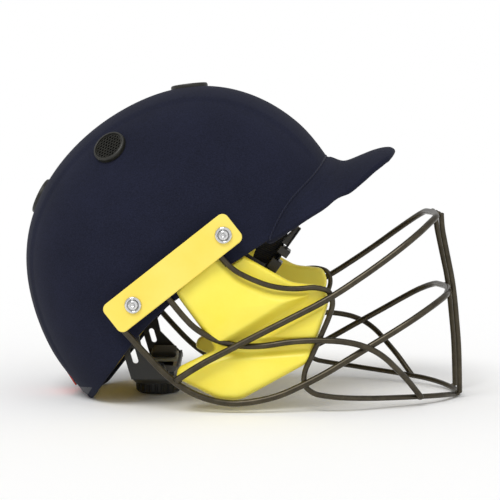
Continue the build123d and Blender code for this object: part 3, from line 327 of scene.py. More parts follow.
def unit(vectors):
    """The same directions with length one."""
    return vectors / np.maximum(np.linalg.norm(vectors, axis=-1, keepdims=True), 1e-9)


def circle(count):
    """Turns of evenly spaced points round a circle."""
    return np.linspace(0, 2 * np.pi, count, endpoint=False)


def as_points(*columns):
    """Points from their coordinates, each an array that broadcasts with the others."""
    return np.stack(np.broadcast_arrays(*columns), -1)


def distance_along(route):
    """Length of a line from its start to each of its points."""
    return np.concatenate([[0], np.cumsum(np.linalg.norm(np.diff(route, axis=0), axis=1))])


def smooth_through(x, knots, values):
    """Natural cubic spline through (knots, values): second slopes solve a banded system."""
    h = np.diff(knots)
    n = len(knots)
    system = np.zeros((n, n))
    right = np.zeros(n)
    system[0, 0] = system[-1, -1] = 1
    rows = np.arange(1, n - 1)
    system[rows, rows - 1] = h[:-1]
    system[rows, rows] = 2 * (h[:-1] + h[1:])
    system[rows, rows + 1] = h[1:]
    right[1:-1] = 6 * (np.diff(values[1:]) / h[1:] - np.diff(values[:-1]) / h[:-1])
    bend = np.linalg.solve(system, right)
    k = np.clip(np.searchsorted(knots, x) - 1, 0, n - 2)
    a, b, step = knots[k + 1] - x, x - knots[k], h[k]
    return (
        bend[k] * a**3 / (6 * step) + bend[k + 1] * b**3 / (6 * step)
        + (values[k] / step - bend[k] * step / 6) * a
        + (values[k + 1] / step - bend[k + 1] * step / 6) * b
    )


# points on a bend: of an outline, of the front strap, of a wire or the rim, of straps and hem
OUTLINE_STEPS, FRONT_STEPS, BEND_STEPS, FINE_STEPS = 7, 10, 12, 14


def rounded_route(corners, share, steps, largest=math.inf):
    """Points along a bent line: each corner is a quadratic curve over part of its two runs."""
    corners = np.asarray(corners, float)
    before, at, after = corners[:-2], corners[1:-1], corners[2:]
    run_in = np.linalg.norm(at - before, axis=1, keepdims=True)
    run_out = np.linalg.norm(after - at, axis=1, keepdims=True)
    reach = np.minimum(np.minimum(run_in, run_out) * share, largest)
    start, end = at + (before - at) / run_in * reach, at + (after - at) / run_out * reach
    t = np.linspace(0, 1, steps)[None, :, None]
    arcs = (1 - t) ** 2 * start[:, None] + 2 * t * (1 - t) * at[:, None] + t**2 * end[:, None]
    return np.concatenate([corners[:1], arcs.reshape(-1, corners.shape[1]), corners[-1:]])


def evenly(route, spacing):
    """The same line with points at an even distance along it."""
    along = distance_along(route)
    keep = np.concatenate([[True], np.diff(along) > 1e-6])
    along, route = along[keep], route[keep]
    stations = np.linspace(0, along[-1], max(3, int(along[-1] / spacing)))
    return np.stack([np.interp(stations, along, column) for column in route.T], -1)


TUBE_REFERENCE = np.array([0.31, 0.23, 0.92])
# the two ends' smaller rings: shares of the radius, and how far they stand out
END_SHRINK, END_PUSH = np.array([0.02, 0.55, 0.85]), np.array([0.35, 0.27, 0.12])[:, None]


def tube(route, radius, sides):
    """Rings of a round tube: at each station the circle r (cos a S + sin a U) stands across the path,
    where S is the path's direction crossed with a fixed one and U = direction x S. The
    ends close with smaller rings, so that they are softly rounded."""
    direction = unit(np.gradient(route, axis=0))
    radii = np.concatenate([END_SHRINK, np.ones(len(route)), END_SHRINK[::-1]]) * radius
    route = np.concatenate([
        route[0] - direction[0] * END_PUSH * radius,
        route,
        (route[-1] + direction[-1] * END_PUSH * radius)[::-1],
    ])
    direction = np.pad(direction, ((len(END_SHRINK),) * 2, (0, 0)), mode="edge")
    side = unit(np.cross(direction, TUBE_REFERENCE))
    up = np.cross(direction, side)
    a = circle(sides)[:, None]
    ring = np.cos(a) * side[:, None] + np.sin(a) * up[:, None]
    return route[:, None] + ring * radii[:, None, None]


ARCH_T = np.linspace(0, 1, 400)
ARCH_REACH = 3 * ARCH_SHARE * ARCH_T * (1 - ARCH_T) ** 2 + 3 * ARCH_T**2 * (1 - ARCH_T) + ARCH_T**3
ARCH_WIDTH = (1 - ARCH_T) ** 3 + 3 * ARCH_T * (1 - ARCH_T) ** 2 + 3 * ARCH_SHARE * ARCH_T**2 * (1 - ARCH_T)


def fan_place(x, z):
    """Distance and turn in degrees of a place in the side view, seen from the fan's centre."""
    return np.hypot(x - FAN_X, z - FAN_Z), np.degrees(np.arctan2(z - FAN_Z, x - FAN_X)) % 360


def fan_reach(turn):
    """Distance from the fan's centre to the silhouette at this turn, in millimetres."""
    return SIZES["dome_reach"] * smooth_through(turn, FAN_TURNS, REACH_SHARES)


def half_width(x, z):
    """Half the shell's width over a point of the side view. The share of the way from foot
    to top gives the arch's parameter t, and the width is W (1-t)^3 + 3 W t (1-t)^2 + 3 s W t^2 (1-t)."""
    from_fan, turn = fan_place(x, z)
    share = (from_fan - FAN_FOOT) / (fan_reach(turn) - FAN_FOOT)
    t = np.interp(share, ARCH_REACH, ARCH_T)
    return SIZES["dome_half_width"] * np.interp(t, ARCH_T, ARCH_WIDTH)


# an arch is flat at its widest, so the share of its width stops just short of one
WIDEST = 0.9999
# half the lengths over which slopes are measured, on the shell and elsewhere
SLOPE_STEP, NEAR = 0.6, 0.2


def shell_normal(points):
    """Outward direction at points on the shell, by the slope of a level function: the
    fan radius over the reach, with the width share across."""
    def level(p):
        """Fan radius less the silhouette's radius at this turn and width."""
        from_fan, turn = fan_place(p[:, 0], p[:, 2])
        reach = fan_reach(turn)
        across = np.clip(np.abs(p[:, 1]) / SIZES["dome_half_width"], 0, WIDEST)
        t = np.interp(-across, -ARCH_WIDTH, ARCH_T)
        return from_fan - (FAN_FOOT + (reach - FAN_FOOT) * np.interp(t, ARCH_T, ARCH_REACH))

    shifts = np.eye(3) * SLOPE_STEP
    return unit(as_points(*(level(points + shift) - level(points - shift) for shift in shifts)))


# share of a run that each bend of the rim takes up
RIM_BEND = 0.4
RIM_LINE = rounded_route(RIM_POINTS, RIM_BEND, BEND_STEPS)


def rim_height(x):
    """Height of the rim line over a place along the helmet, in the side view."""
    return np.interp(x, RIM_LINE[:, 0], RIM_LINE[:, 1])


def rim_plane(x):
    """Height of the rim's straight front part, drawn on both ways."""
    return RIM_KNEE_Z + RIM_SLOPE * (x - RIM_KNEE_X)


def smoothstep(x):
    """Soft step from 0 to 1: 3 x^2 - 2 x^3."""
    x = np.clip(x, 0, 1)
    return x * x * (3 - 2 * x)


def line_distance(x, z, line):
    """Distance in the side view from points to a polyline, and the share along it."""
    line = np.asarray(line, float)
    a, b = line[:-1], line[1:]
    p = np.stack([x, z], -1)[..., None, :]
    run = b - a
    t = np.clip(((p - a) * run).sum(-1) / (run**2).sum(-1), 0, 1)
    gap = np.linalg.norm(p - (a + run * t[..., None]), axis=-1)
    nearest = gap.argmin(-1)
    share = (nearest + np.take_along_axis(t, nearest[..., None], -1)[..., 0]) / len(run)
    return gap.min(-1), share


# Sizes and colours that a user would change

SIZE_FIELDS = {
    "dome_reach": ("Shell reach", "Fan centre to the crown", 159.4),
    "dome_half_width": ("Shell half width", "Middle to the side of the cloth", 93.0),
    "crest_rise": ("Crest rise", "Height of the padded crest over the sides", 1.1),
    "hem_thickness": ("Hem thickness", "Cloth, shell and binding at the rim", 4.6),
    "heavy_wire": ("Heavy wire", "Diameter of the top and middle bars", 4.8),
    "cheek_wire": ("Cheek wire", "Diameter of the cheek bars", 4.5),
    "centre_wire": ("Centre wire", "Diameter of the two centre bars", 4.2),
    "loop_wire": ("Loop wire", "Diameter of the lower loop", 4.0),
    "guard_inner": ("Guard inside", "Middle to the guard's inner face", 78.5),
    "guard_wall": ("Guard wall", "Thickness of the guard's base", 9.0),
    "vent_diameter": ("Cap diameter", "Outside of the top and rear ventilation caps", 28.8),
}
COLOUR_FIELDS = {
    "cloth_dark": ("Cloth shade", "Deep tone of the twill", "#12141E"),
    "cloth_light": ("Cloth light", "Light tone of the twill", "#24273B"),
    "plate_dark": ("Plate shade", "Deep tone of the side plates", "#FFE25A"),
    "plate_light": ("Plate light", "Light tone of the side plates", "#FFEA70"),
    "guard_dark": ("Guard shade", "Deep tone of the cheek guards", "#FFE845"),
    "guard_light": ("Guard light", "Light tone of the cheek guards", "#FFF05E"),
}
SIZES = {key: value for key, (_, _, value) in SIZE_FIELDS.items()}
COLOURS = {key: value for key, (_, _, value) in COLOUR_FIELDS.items()}


def fields(table, kind, **more):
    """Properties of a table's rows: label, description and default."""
    return {
        key: kind(name=label, description=text, default=value, **more)
        for key, (label, text, value) in table.items()
    }


class HelmetSizes(bpy.types.PropertyGroup):
    """Sizes in millimetres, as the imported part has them."""
    __annotations__ = fields(SIZE_FIELDS, bpy.props.FloatProperty, subtype="DISTANCE_CAMERA")


class HelmetColours(bpy.types.PropertyGroup):
    """Colours as sRGB hex values."""
    __annotations__ = fields(COLOUR_FIELDS, bpy.props.StringProperty)


def read_settings(context):
    """Takes the panel's values over the defaults."""
    for key in SIZES:
        SIZES[key] = getattr(context.scene.helmet_sizes, key)
    for key in COLOURS:
        COLOURS[key] = getattr(context.scene.helmet_colours, key)


# Cloth over the shell

# half width of the padded crest and of its soft edge; where it ends and over which length it
# fades, towards the peak and above the hem
CREST_HALF, CREST_EDGE = 43.0, 7.0
CREST_FRONT, CREST_FADE, CREST_LOW, CREST_RISE = 66.0, 26.0, 8.0, 30.0
SEAM_LINE = [(74, 176), (62, 168), (49, 158), (37, 145), (27, 132), (20, 120), (15, 110)]
SEAM_DEPTH, SEAM_HALF = 0.55, 1.6
# the groove comes and goes over this part of the seam's length: an eighth, and a twentieth
SEAM_START, SEAM_END = 8, 20
# first, last and number of the turns searched for the rim's ends
TURN_SEARCH = (20, 236, 4000)
CROWN_STATIONS, ACROSS_STATIONS = 300, 250
# stations stand closer at both ends of the crown line, by this share
END_SHARE = 0.55
# how far the hem's fold stands down, as a share of its radius, and how far its back goes up
FOLD_SHARE, FOLD_BACK, FOLD_STEPS = 0.35, (3.0, 9.0), 9


def silhouette(turns):
    """Points (X, Z) of the shell's outline at these turns about the fan's centre."""
    reach, turns = fan_reach(turns), np.radians(turns)
    return as_points(FAN_X + reach * np.cos(turns), FAN_Z + reach * np.sin(turns))


def rim_ends():
    """Turns at which the silhouette meets the rim line at the front and the floor behind."""
    turns = np.linspace(*TURN_SEARCH)
    line = silhouette(turns)
    front = turns[np.argmax(line[:, 1] > rim_plane(line[:, 0]))]
    rear = turns[len(turns) - 1 - np.argmax(line[::-1, 1] > 0)]
    return front, rear


def crest_lift(points):
    """Height of the padded crest: a soft step at its edges, fading out at front and hem."""
    across = smoothstep((CREST_HALF - np.abs(points[:, 1])) / CREST_EDGE + 0.5)
    front = smoothstep((CREST_FRONT - points[:, 0]) / CREST_FADE)
    low = smoothstep((points[:, 2] - CREST_LOW) / CREST_RISE)
    return SIZES["crest_rise"] * across * front * low


def seam_groove(points):
    """Depth of the pulled-in cloth along the seam where the peak's panel begins."""
    gap, share = line_distance(points[:, 0], points[:, 2], SEAM_LINE)
    ends = smoothstep(share * SEAM_START) * smoothstep((1 - share) * SEAM_END)
    return -SEAM_DEPTH * np.exp(-((gap / SEAM_HALF) ** 2)) * ends


def cloth_cover():
    """Shell cloth: lines run in the side view from the rim R(s) to the silhouette S(s) as
    R + (S - R) (1 - u^2), and stand at the half width of that place; rows past the rim
    fold round it. The surface then rises with the crest and dips along the seams."""
    front, rear = rim_ends()
    s = np.linspace(0, 1, CROWN_STATIONS)
    s = 0.5 - 0.5 * np.cos(np.pi * s) * END_SHARE - 0.5 * (1 - 2 * s) * (1 - END_SHARE)
    top = silhouette(rear + (front - rear) * s)
    start, end = silhouette(np.array([rear, front]))
    low = rounded_route([start, *RIM_POINTS[:3], end], RIM_BEND, FINE_STEPS)
    along = distance_along(low)
    low = as_points(*(np.interp(s * along[-1], along, column) for column in low.T))
    u = np.linspace(-1, 1, ACROSS_STATIONS)
    side = low[:, None] + (top - low)[:, None] * (1 - u**2)[None, :, None]
    width = np.sign(u)[None, :] * half_width(side[..., 0], side[..., 1])
    shape = (*width.shape, 3)
    flat = as_points(side[..., 0], width, side[..., 1]).reshape(-1, 3)
    normal = shell_normal(flat)
    flat = flat + normal * (crest_lift(flat) + seam_groove(flat))[:, None]
    points, normal = flat.reshape(shape), normal.reshape(shape)
    run = np.gradient(low, axis=0)
    down = as_points(run[:, 1], 0, -run[:, 0])
    edge = SIZES["hem_thickness"] / 2
    rows = []
    for column in (0, -1):
        base, out = points[:, column], normal[:, column]
        away = unit(down - (down * out).sum(-1, keepdims=True) * out)
        fold = [
            base + out * edge * (np.cos(a) - 1) + away * edge * FOLD_SHARE * np.sin(a)
            for a in np.linspace(0, np.pi, FOLD_STEPS)[1:]
        ]
        rows.append(np.stack(fold + [fold[-1] - away * depth for depth in FOLD_BACK], 1))
    points = np.concatenate([rows[0][:, ::-1], points, rows[1]], 1)
    faces = grid_faces(*points.shape[:2], flip=True)
    return make_mesh("shell_cloth", points.reshape(-1, 3), faces)


# Peak

PEAK_AXIS_Z = 75.0
PEAK_PROFILE = np.array([
    (12.0, 90.0), (24.6, 101.6), (38.8, 108.6), (55.0, 110.6), (65.0, 110.9), (71.5, 108.6),
    (76.0, 107.5), (82.0, 108.9), (93.3, 113.6), (103.0, 117.0), (110.0, 118.2), (114.5, 117.2),
    (117.3, 114.6),
])
PEAK_WALL = 4.7
PEAK_ROWS, PEAK_COLUMNS = 240, 70
# how far the peak starts inside the shell, and the length over which its end stays even
PEAK_TUCK, PEAK_EVEN = 3.0, 12.0
# places searched for the peak's ends: furthest turn in degrees, first and last X, their
# number; how deep in the shell counts as outside, and the shortest length that is kept
PEAK_TURN, PEAK_PLACES, PEAK_SINK, PEAK_LEAST = 86, (12.5, 117.5, 1400), 0.4, 1.5
# rows stand closer towards the middle, and columns towards the front edge, by these powers
TURN_POWER, RUN_POWER = 0.9, 1.3
# round front edge, seen from above
NOSE_X, NOSE_RADIUS = 6.6, 110.9
# how far the peak's lower edge leaves the rim plane: places along X, and millimetres up
PEAK_TIP_UP = ((57.0, 80.0, 98.0, 108.0, 115.0), (-1.8, -1.9, 2.4, 3.2, 1.8))
# cloth near the seam, as (height, distance from the seam, half width)
SEAM_PULL, FOLD_CREST, FOLD_DIP = (-0.6, 1.6, 1.1), (0.7, 9.0, 3.2), (-0.56, 13.5, 2.6)
# points on the front edge's half circle, and how far it is set back, as a share of its radius
ROLL_STEPS, ROLL_BACK = 15, 0.9
# radius of the piping, spacing of its rings and points in each; the number of stations in
# its running mean, and how far it lies behind and over the seam
PIPING_RADIUS, PIPING_STEP, PIPING_SIDES = 0.75, 1.2, 10
PIPING_MEAN, PIPING_BACK, PIPING_LIFT = 9, 0.2, 0.15


def peak_radius(x):
    """The profile's distance from the peak's axis."""
    return smooth_through(x, PEAK_PROFILE[:, 0], PEAK_PROFILE[:, 1])


def peak_floor(x):
    """Height of the peak's lower edge in the side view: the rim plane, tipped up a little
    towards the front."""
    return rim_plane(x) + np.interp(x, *PEAK_TIP_UP)


def peak_span():
    """Turns about the peak's axis, and at each the places where the profile leaves the
    shell and where it ends at the lower edge or at the round front."""
    a = np.linspace(-1, 1, PEAK_ROWS)
    a = np.radians(PEAK_TURN) * np.sign(a) * np.abs(a) ** TURN_POWER
    x = np.linspace(*PEAK_PLACES)
    y, z = np.moveaxis(on_peak(x[None], peak_radius(x)[None], a[:, None])[..., 1:], -1, 0)
    grid_x = np.broadcast_to(x, y.shape)
    from_fan, turn = fan_place(grid_x, z)
    outside = (from_fan > fan_reach(turn)) | (np.abs(y) > half_width(grid_x, z) - PEAK_SINK)
    within = (z > peak_floor(grid_x)) & (np.hypot(grid_x - NOSE_X, y) < NOSE_RADIUS)
    first = np.argmax(outside & within, axis=1)
    ahead = within & (grid_x > x[first][:, None] - 1)
    last = len(x) - 1 - np.argmax(ahead[:, ::-1], axis=1)
    good = (outside & within).any(1) & (x[last] - x[first] > PEAK_LEAST)
    return a[good], x[first[good]], x[last[good]]


def on_peak(x, r, a):
    """Points at distance r and turn a about the peak's axis."""
    return as_points(x, r * np.sin(a), PEAK_AXIS_Z + r * np.cos(a))


def swell(past, height, middle, half):
    """Soft ridge or groove: height exp(-((past - middle) / half)^2)."""
    return height * np.exp(-(((past - middle) / half) ** 2))


def peak_cover():
    """Peak: a profile r(x) turned about the fore-and-aft axis at Z = 75. At each turn a it
    runs from just inside the shell to its end, rolls over in a half circle and comes back
    one wall further in. A groove follows the seam, and a soft fold lies in front of it."""
    a, seam, end = peak_span()
    half = PEAK_WALL / 2
    v = np.linspace(0, 1, PEAK_COLUMNS)
    start = seam - PEAK_TUCK
    reach = np.maximum(end - half * ROLL_BACK, start + 0.5)
    run = start[:, None] + (reach - start)[:, None] * (1 - (1 - v) ** RUN_POWER)[None]
    past = run - seam[:, None]
    fold = np.abs(np.sin(a))[:, None] * (swell(past, *FOLD_CREST) + swell(past, *FOLD_DIP))
    soft = smoothstep((reach - seam)[:, None] / PEAK_EVEN)
    r = peak_radius(run) + (swell(past, *SEAM_PULL) + fold) * soft
    slope = (peak_radius(run + NEAR) - peak_radius(run - NEAR)) / (2 * NEAR)
    length = np.sqrt(1 + slope**2)
    normal = np.stack([-slope / length, 1 / length])
    along = np.stack([1 / length, slope / length])[..., -1:]
    outer = np.stack([run, r])
    middle = outer - normal * half
    b = np.linspace(0, np.pi, ROLL_STEPS)[1:-1]
    roll = middle[..., -1:] + half * (normal[..., -1:] * np.cos(b) + along * np.sin(b))
    line = np.concatenate([outer, roll, (middle - normal * half)[..., ::-1]], -1)
    return skin("peak_cloth", on_peak(*line, a[:, None]))


def peak_piping():
    """Piping in the seam between shell and peak: a thin cord where the profile leaves the
    shell, its line smoothed by a running mean."""
    a, seam, _ = peak_span()
    padded = np.pad(seam, PIPING_MEAN // 2, mode="edge")
    x = np.convolve(padded, np.ones(PIPING_MEAN) / PIPING_MEAN, "valid")
    line = on_peak(x - PIPING_BACK, peak_radius(x) + PIPING_LIFT, a)
    return skin("peak_piping", tube(evenly(line, PIPING_STEP), PIPING_RADIUS, PIPING_SIDES))


# Bolts and cup washers of the side plates

BOLT_SPOTS = [(-10.8, 129.7), (-75.9, 79.3)]
# (radius, distance from the middle) in millimetres: socket, dome, head, shank
BOLT_PROFILE = [
    (1.75, 103.1), (1.8, 104.0), (1.95, 104.2), (2.5, 104.15), (3.1, 103.85), (3.5, 103.4),
    (3.7, 102.9), (3.7, 102.5), (2.5, 102.5), (2.5, 79.6),
]
# bore, floor, cup wall, bright rolled rim and the outer edge on the plate
WASHER_PROFILE = [
    (2.7, 101.62), (2.7, 102.5), (3.9, 102.5), (4.15, 102.9), (4.35, 103.35), (4.75, 103.6),
    (5.3, 103.6), (5.8, 103.3), (6.15, 102.7), (6.35, 102.0), (6.35, 101.62),
]
SOCKET_POINTS = 3
TURN_SIDES = 72


def hexagon(a):
    """Distance from the centre of a hexagon to its side at turn a, for a corner distance of 1."""
    return np.cos(np.pi / 6) / np.cos(np.mod(a, np.pi / 3) - np.pi / 6)


def turned(profile, hexed=0):
    """Profile of (radius, height) points turned round: (r cos a, r sin a, h). The first
    `hexed` points follow a hexagon instead of a circle."""
    profile = np.array(profile, float)
    a = circle(TURN_SIDES)[:, None]
    radius = profile[:, 0] * np.where(np.arange(len(profile)) < hexed, hexagon(a), 1.0)
    points = as_points(radius * np.cos(a), radius * np.sin(a), profile[:, 1])
    return points.reshape(-1, 3), grid_faces(TURN_SIDES, len(profile), close_rows=True).tolist()


def at_bolts(points, faces):
    """Copies of a turned piece on the four bolt axes."""
    return join_sets([
        (as_points(x + points[:, 0], side * points[:, 2], z + points[:, 1]), faces)
        for side in (1, -1) for x, z in BOLT_SPOTS
    ])


def bolts_and_washers():
    """The four bolts, closed by a flat face at both ends, and the four cup washers."""
    points, faces = turned(BOLT_PROFILE, SOCKET_POINTS)
    columns = len(BOLT_PROFILE)
    ends = np.arange(TURN_SIDES) * columns + np.array([[0], [columns - 1]])
    bolts = outward(make_mesh("dome_bolts", *at_bolts(points, faces + ends.tolist())))
    dress(bolts, HELMET, "bolt_steel", "mount_bolts")
    washers = make_mesh("cup_washers", *at_bolts(*turned(WASHER_PROFILE + WASHER_PROFILE[:1])))
    dress(outward(washers, FINE_MERGE), HELMET, "bolt_steel", "mount_washers")


# Ventilation caps

# a place inside the shell from which every cap is seen face on, how straight that is, and
# the depth below the highest point that still belongs to the flat top
CAP_VIEWPOINT, FACING, TOP_DEPTH = np.array([FAN_X, 0.0, FAN_Z + 20.0]), 0.9, 0.05


def cap_plane(node):
    """Centre, outward direction and one side of a cap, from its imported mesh."""
    mesh = frame["nodes"][node].data
    co = coordinates(mesh)
    area = np.empty(len(mesh.polygons))
    mesh.polygons.foreach_get("area", area)
    faces = np.empty(len(mesh.polygons) * 3)
    mesh.polygons.foreach_get("normal", faces)
    faces = faces.reshape(-1, 3)
    away = unit(co.mean(0) - CAP_VIEWPOINT)
    # the cap's flat top holds the faces that share the commonest outward direction
    outer = faces @ away > FACING
    _, which = np.unique(np.round(faces[outer], 2), axis=0, return_inverse=True)
    total = np.bincount(which.ravel(), weights=area[outer])
    out = unit(faces[outer][which.ravel() == total.argmax()].mean(0))
    rim = co[co @ out > (co @ out).max() - TOP_DEPTH]
    sideways = [0.0, 1.0, 0.0] if abs(out[1]) < FACING else [1.0, 0.0, 0.0]
    return rim.mean(0), out, unit(np.cross(out, sideways))


# a cell: how far its outer edge drops, the share of it that is flat, how wide and deep its
# hole flares, and how little it overlaps the next cell
CELL_DROP, CELL_FLAT, HOLE_FLARE, HOLE_DEPTH, CELL_OVERLAP = 0.35, 0.8, 1.12, 0.25, 1.001


def honeycomb_plate(rings, pitch, hole, top, thickness):
    """Hexagon cells with hexagon holes: each has an outer and an inner ring of six corners,
    at the top and underneath, joined by quads."""
    i, j = np.meshgrid(np.arange(-rings, rings + 1), np.arange(-rings, rings + 1), indexing="ij")
    keep = np.abs(i + j) <= rings
    i, j = i[keep], j[keep]
    centres = as_points(pitch * (i + j / 2), pitch * j * math.sqrt(3) / 2, 0)
    a = np.radians(30 + 60 * np.arange(6))
    outer, inner = pitch / math.sqrt(3) * CELL_OVERLAP, hole / math.sqrt(3)
    low = top - thickness
    cell = np.concatenate([
        as_points(size * np.cos(a), size * np.sin(a), level)
        for size, level in (
            (outer, top - CELL_DROP), (outer * CELL_FLAT, top), (inner * HOLE_FLARE, top),
            (inner, top - HOLE_DEPTH), (inner, low), (outer, low))
    ])
    own = grid_faces(6, 6, close_columns=True)
    faces = (own[None] + (np.arange(len(centres)) * len(cell))[:, None, None]).reshape(-1, 4)
    return (cell[None] + centres[:, None]).reshape(-1, 3), faces


# ring and its inner ledge as (distance in from the cap's radius, height over its face)
CAP_RING = [
    (1.9, -1.1), (1.8, -0.15), (1.5, 0.05), (1.0, 0.1), (0.5, -0.15), (0.12, -0.8), (0.0, -1.6),
    (0.0, -3.2), (0.5, -5.4), (1.9, -5.4), (1.9, -1.1),
]
CAP_LEDGE = [(1.8, -1.0), (3.1, -0.8), (3.1, -2.0), (1.8, -2.2)]
# cells from the middle to the edge, their pitch, hole, top and thickness
COMB_RINGS, COMB_PITCH, COMB_HOLE, COMB_TOP, COMB_WALL = 4, 2.95, 1.9, -0.6, 1.3
# size of each cap as a share of the diameter
CAP_SHARES = {"top": 1.0, "rear": 1.0, "left": 0.9, "right": 0.9}


def vent_cap(name, node, share):
    """Round cap with a rolled rim and a honeycomb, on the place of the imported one."""
    radius = SIZES["vent_diameter"] / 2 * share
    centre, out, across = cap_plane(node)
    points, faces = join_sets([
        turned([(radius - inset, height) for inset, height in CAP_RING]),
        turned([(radius - inset, height) for inset, height in CAP_LEDGE]),
        honeycomb_plate(COMB_RINGS, COMB_PITCH * share, COMB_HOLE * share, COMB_TOP, COMB_WALL),
    ])
    placed = centre + points @ np.stack([across, np.cross(out, across), out])
    return make_mesh(name, placed, faces, smooth=False)


# Grille wires; each table runs from the plate to the front on the left side, in shares of
# the grille's reach, half width and height

GRILLE = np.array([170.0, 98.0, 146.0])
# share of a run that a bend takes up, spacing of the rings and points in each
WIRE_BEND, WIRE_STEP, WIRE_SIDES = 0.48, 1.4, 20
# weld beads: how near two bars come, the bead's stretch along X, Y and Z, its rings and sides
WELD_GAP, BEAD_SHAPE, BEAD_RINGS, BEAD_SIDES = 0.6, np.array([1.15, 0.8, 1.15]) * 0.95, 8, 12

TOP_BAR = [
    (-0.268, 1.003, 0.167), (-0.165, 0.996, 0.245), (0.089, 0.987, 0.400), (0.384, 0.969, 0.575),
    (0.553, 0.920, 0.708), (0.638, 0.890, 0.779), (0.712, 0.853, 0.845), (0.774, 0.770, 0.901),
    (0.813, 0.673, 0.938), (0.847, 0.561, 0.967), (0.868, 0.000, 0.974),
]
MIDDLE_BAR = [
    (-0.526, 0.978, 0.461), (-0.479, 0.976, 0.398), (-0.389, 0.971, 0.282), (-0.323, 0.965, 0.202),
    (-0.256, 0.961, 0.136), (-0.182, 0.959, 0.088), (-0.100, 0.959, 0.059), (-0.024, 0.959, 0.048),
    (0.075, 0.957, 0.060), (0.174, 0.953, 0.090), (0.343, 0.937, 0.182), (0.512, 0.886, 0.301),
    (0.647, 0.834, 0.393), (0.741, 0.792, 0.460), (0.815, 0.718, 0.514), (0.862, 0.622, 0.545),
    (0.897, 0.500, 0.566), (0.935, 0.000, 0.577),
]
CHEEK_BAR = [
    (-0.344, 0.980, 0.637), (-0.300, 0.980, 0.573), (-0.241, 0.976, 0.488), (-0.194, 0.969, 0.429),
    (-0.141, 0.959, 0.388), (-0.076, 0.949, 0.353), (0.012, 0.945, 0.333), (0.106, 0.945, 0.336),
    (0.212, 0.948, 0.358), (0.318, 0.950, 0.367), (0.424, 0.950, 0.364), (0.506, 0.940, 0.347),
    (0.571, 0.910, 0.316), (0.624, 0.857, 0.271), (0.671, 0.778, 0.212), (0.721, 0.688, 0.148),
    (0.788, 0.577, 0.044),
]
LOWER_LOOP = [
    (-0.112, 0.982, 0.831), (-0.072, 0.982, 0.774), (-0.024, 0.980, 0.714), (0.047, 0.971, 0.671),
    (0.129, 0.959, 0.634), (0.224, 0.945, 0.618), (0.324, 0.933, 0.629), (0.384, 0.924, 0.610),
    (0.399, 0.918, 0.551), (0.381, 0.914, 0.479), (0.324, 0.908, 0.325), (0.276, 0.902, 0.205),
    (0.274, 0.904, 0.134), (0.318, 0.902, 0.093), (0.400, 0.892, 0.077), (0.482, 0.849, 0.068),
    (0.588, 0.755, 0.058), (0.718, 0.616, 0.049), (0.846, 0.452, 0.039), (0.912, 0.316, 0.030),
    (0.962, 0.158, 0.018), (0.985, 0.000, 0.014),
]
CENTRE_BAR = [
    (0.882, 0.280, 0.976), (0.887, 0.274, 0.897), (0.908, 0.262, 0.781), (0.936, 0.243, 0.630),
    (0.949, 0.232, 0.524), (0.970, 0.207, 0.279), (0.975, 0.190, 0.104), (0.9765, 0.184, 0.029),
]


def wire_route(shares, across):
    """Centre line of a bar in millimetres: the table's corners with a curve at each; a bar
    that goes across is mirrored at the middle."""
    points = np.array(shares) * GRILLE
    if across:
        points = np.concatenate([points, points[-2::-1] * MIRROR])
    return evenly(rounded_route(points, WIRE_BEND, BEND_STEPS), WIRE_STEP)


def weld_beads(bars):
    """A small bead of weld wherever two bars touch: an ellipsoid between their centre lines."""
    a, b = circle(BEAD_SIDES), np.linspace(0, np.pi, BEAD_RINGS)[:, None]
    ball = as_points(np.sin(b) * np.cos(a), np.sin(b) * np.sin(a), np.cos(b)).reshape(-1, 3)
    faces = grid_faces(BEAD_RINGS, BEAD_SIDES, close_columns=True, flip=True).tolist()
    beads = []
    for (_, one, one_width, _), (_, other, other_width, _) in itertools.combinations(bars, 2):
        gap = np.linalg.norm(one[:, None] - other[None], axis=-1)
        near = gap.min(axis=1)
        touch = (one_width + other_width) / 2 + WELD_GAP
        inner = (near[1:-1] <= near[:-2]) & (near[1:-1] < near[2:]) & (near[1:-1] < touch)
        for station in np.flatnonzero(inner) + 1:
            middle = (one[station] + other[gap[station].argmin()]) / 2
            beads.append((middle + ball * BEAD_SHAPE * min(one_width, other_width) / 2, faces))
    return beads


def grille_wires():
    """Every bar as a round tube along its own route, and the beads where they are welded."""
    bars = [
        ("top_wire", wire_route(TOP_BAR, True), SIZES["heavy_wire"], "top_bar"),
        ("middle_wire", wire_route(MIDDLE_BAR, True), SIZES["heavy_wire"], "middle_bar"),
        ("loop_wire", wire_route(LOWER_LOOP, True), SIZES["loop_wire"], "lower_loop"),
    ]
    for kind, table in (("cheek", CHEEK_BAR), ("centre", CENTRE_BAR)):
        for word, turn in (("left", np.ones(3)), ("right", MIRROR)):
            route = wire_route(table, False) * turn
            bars.append((f"{kind}_wire_{word}", route, SIZES[f"{kind}_wire"], f"{kind}_bar_{word}"))
    for name, route, diameter, node in bars:
        dress(skin(name, tube(route, diameter / 2, WIRE_SIDES)), HELMET, "wire_coating", node)
    beads = make_mesh("weld_beads", *join_sets(weld_beads(bars)))
    dress(outward(beads, MERGE), HELMET, "wire_coating")


# Cheek guards; outlines in shares of the guard's length and height

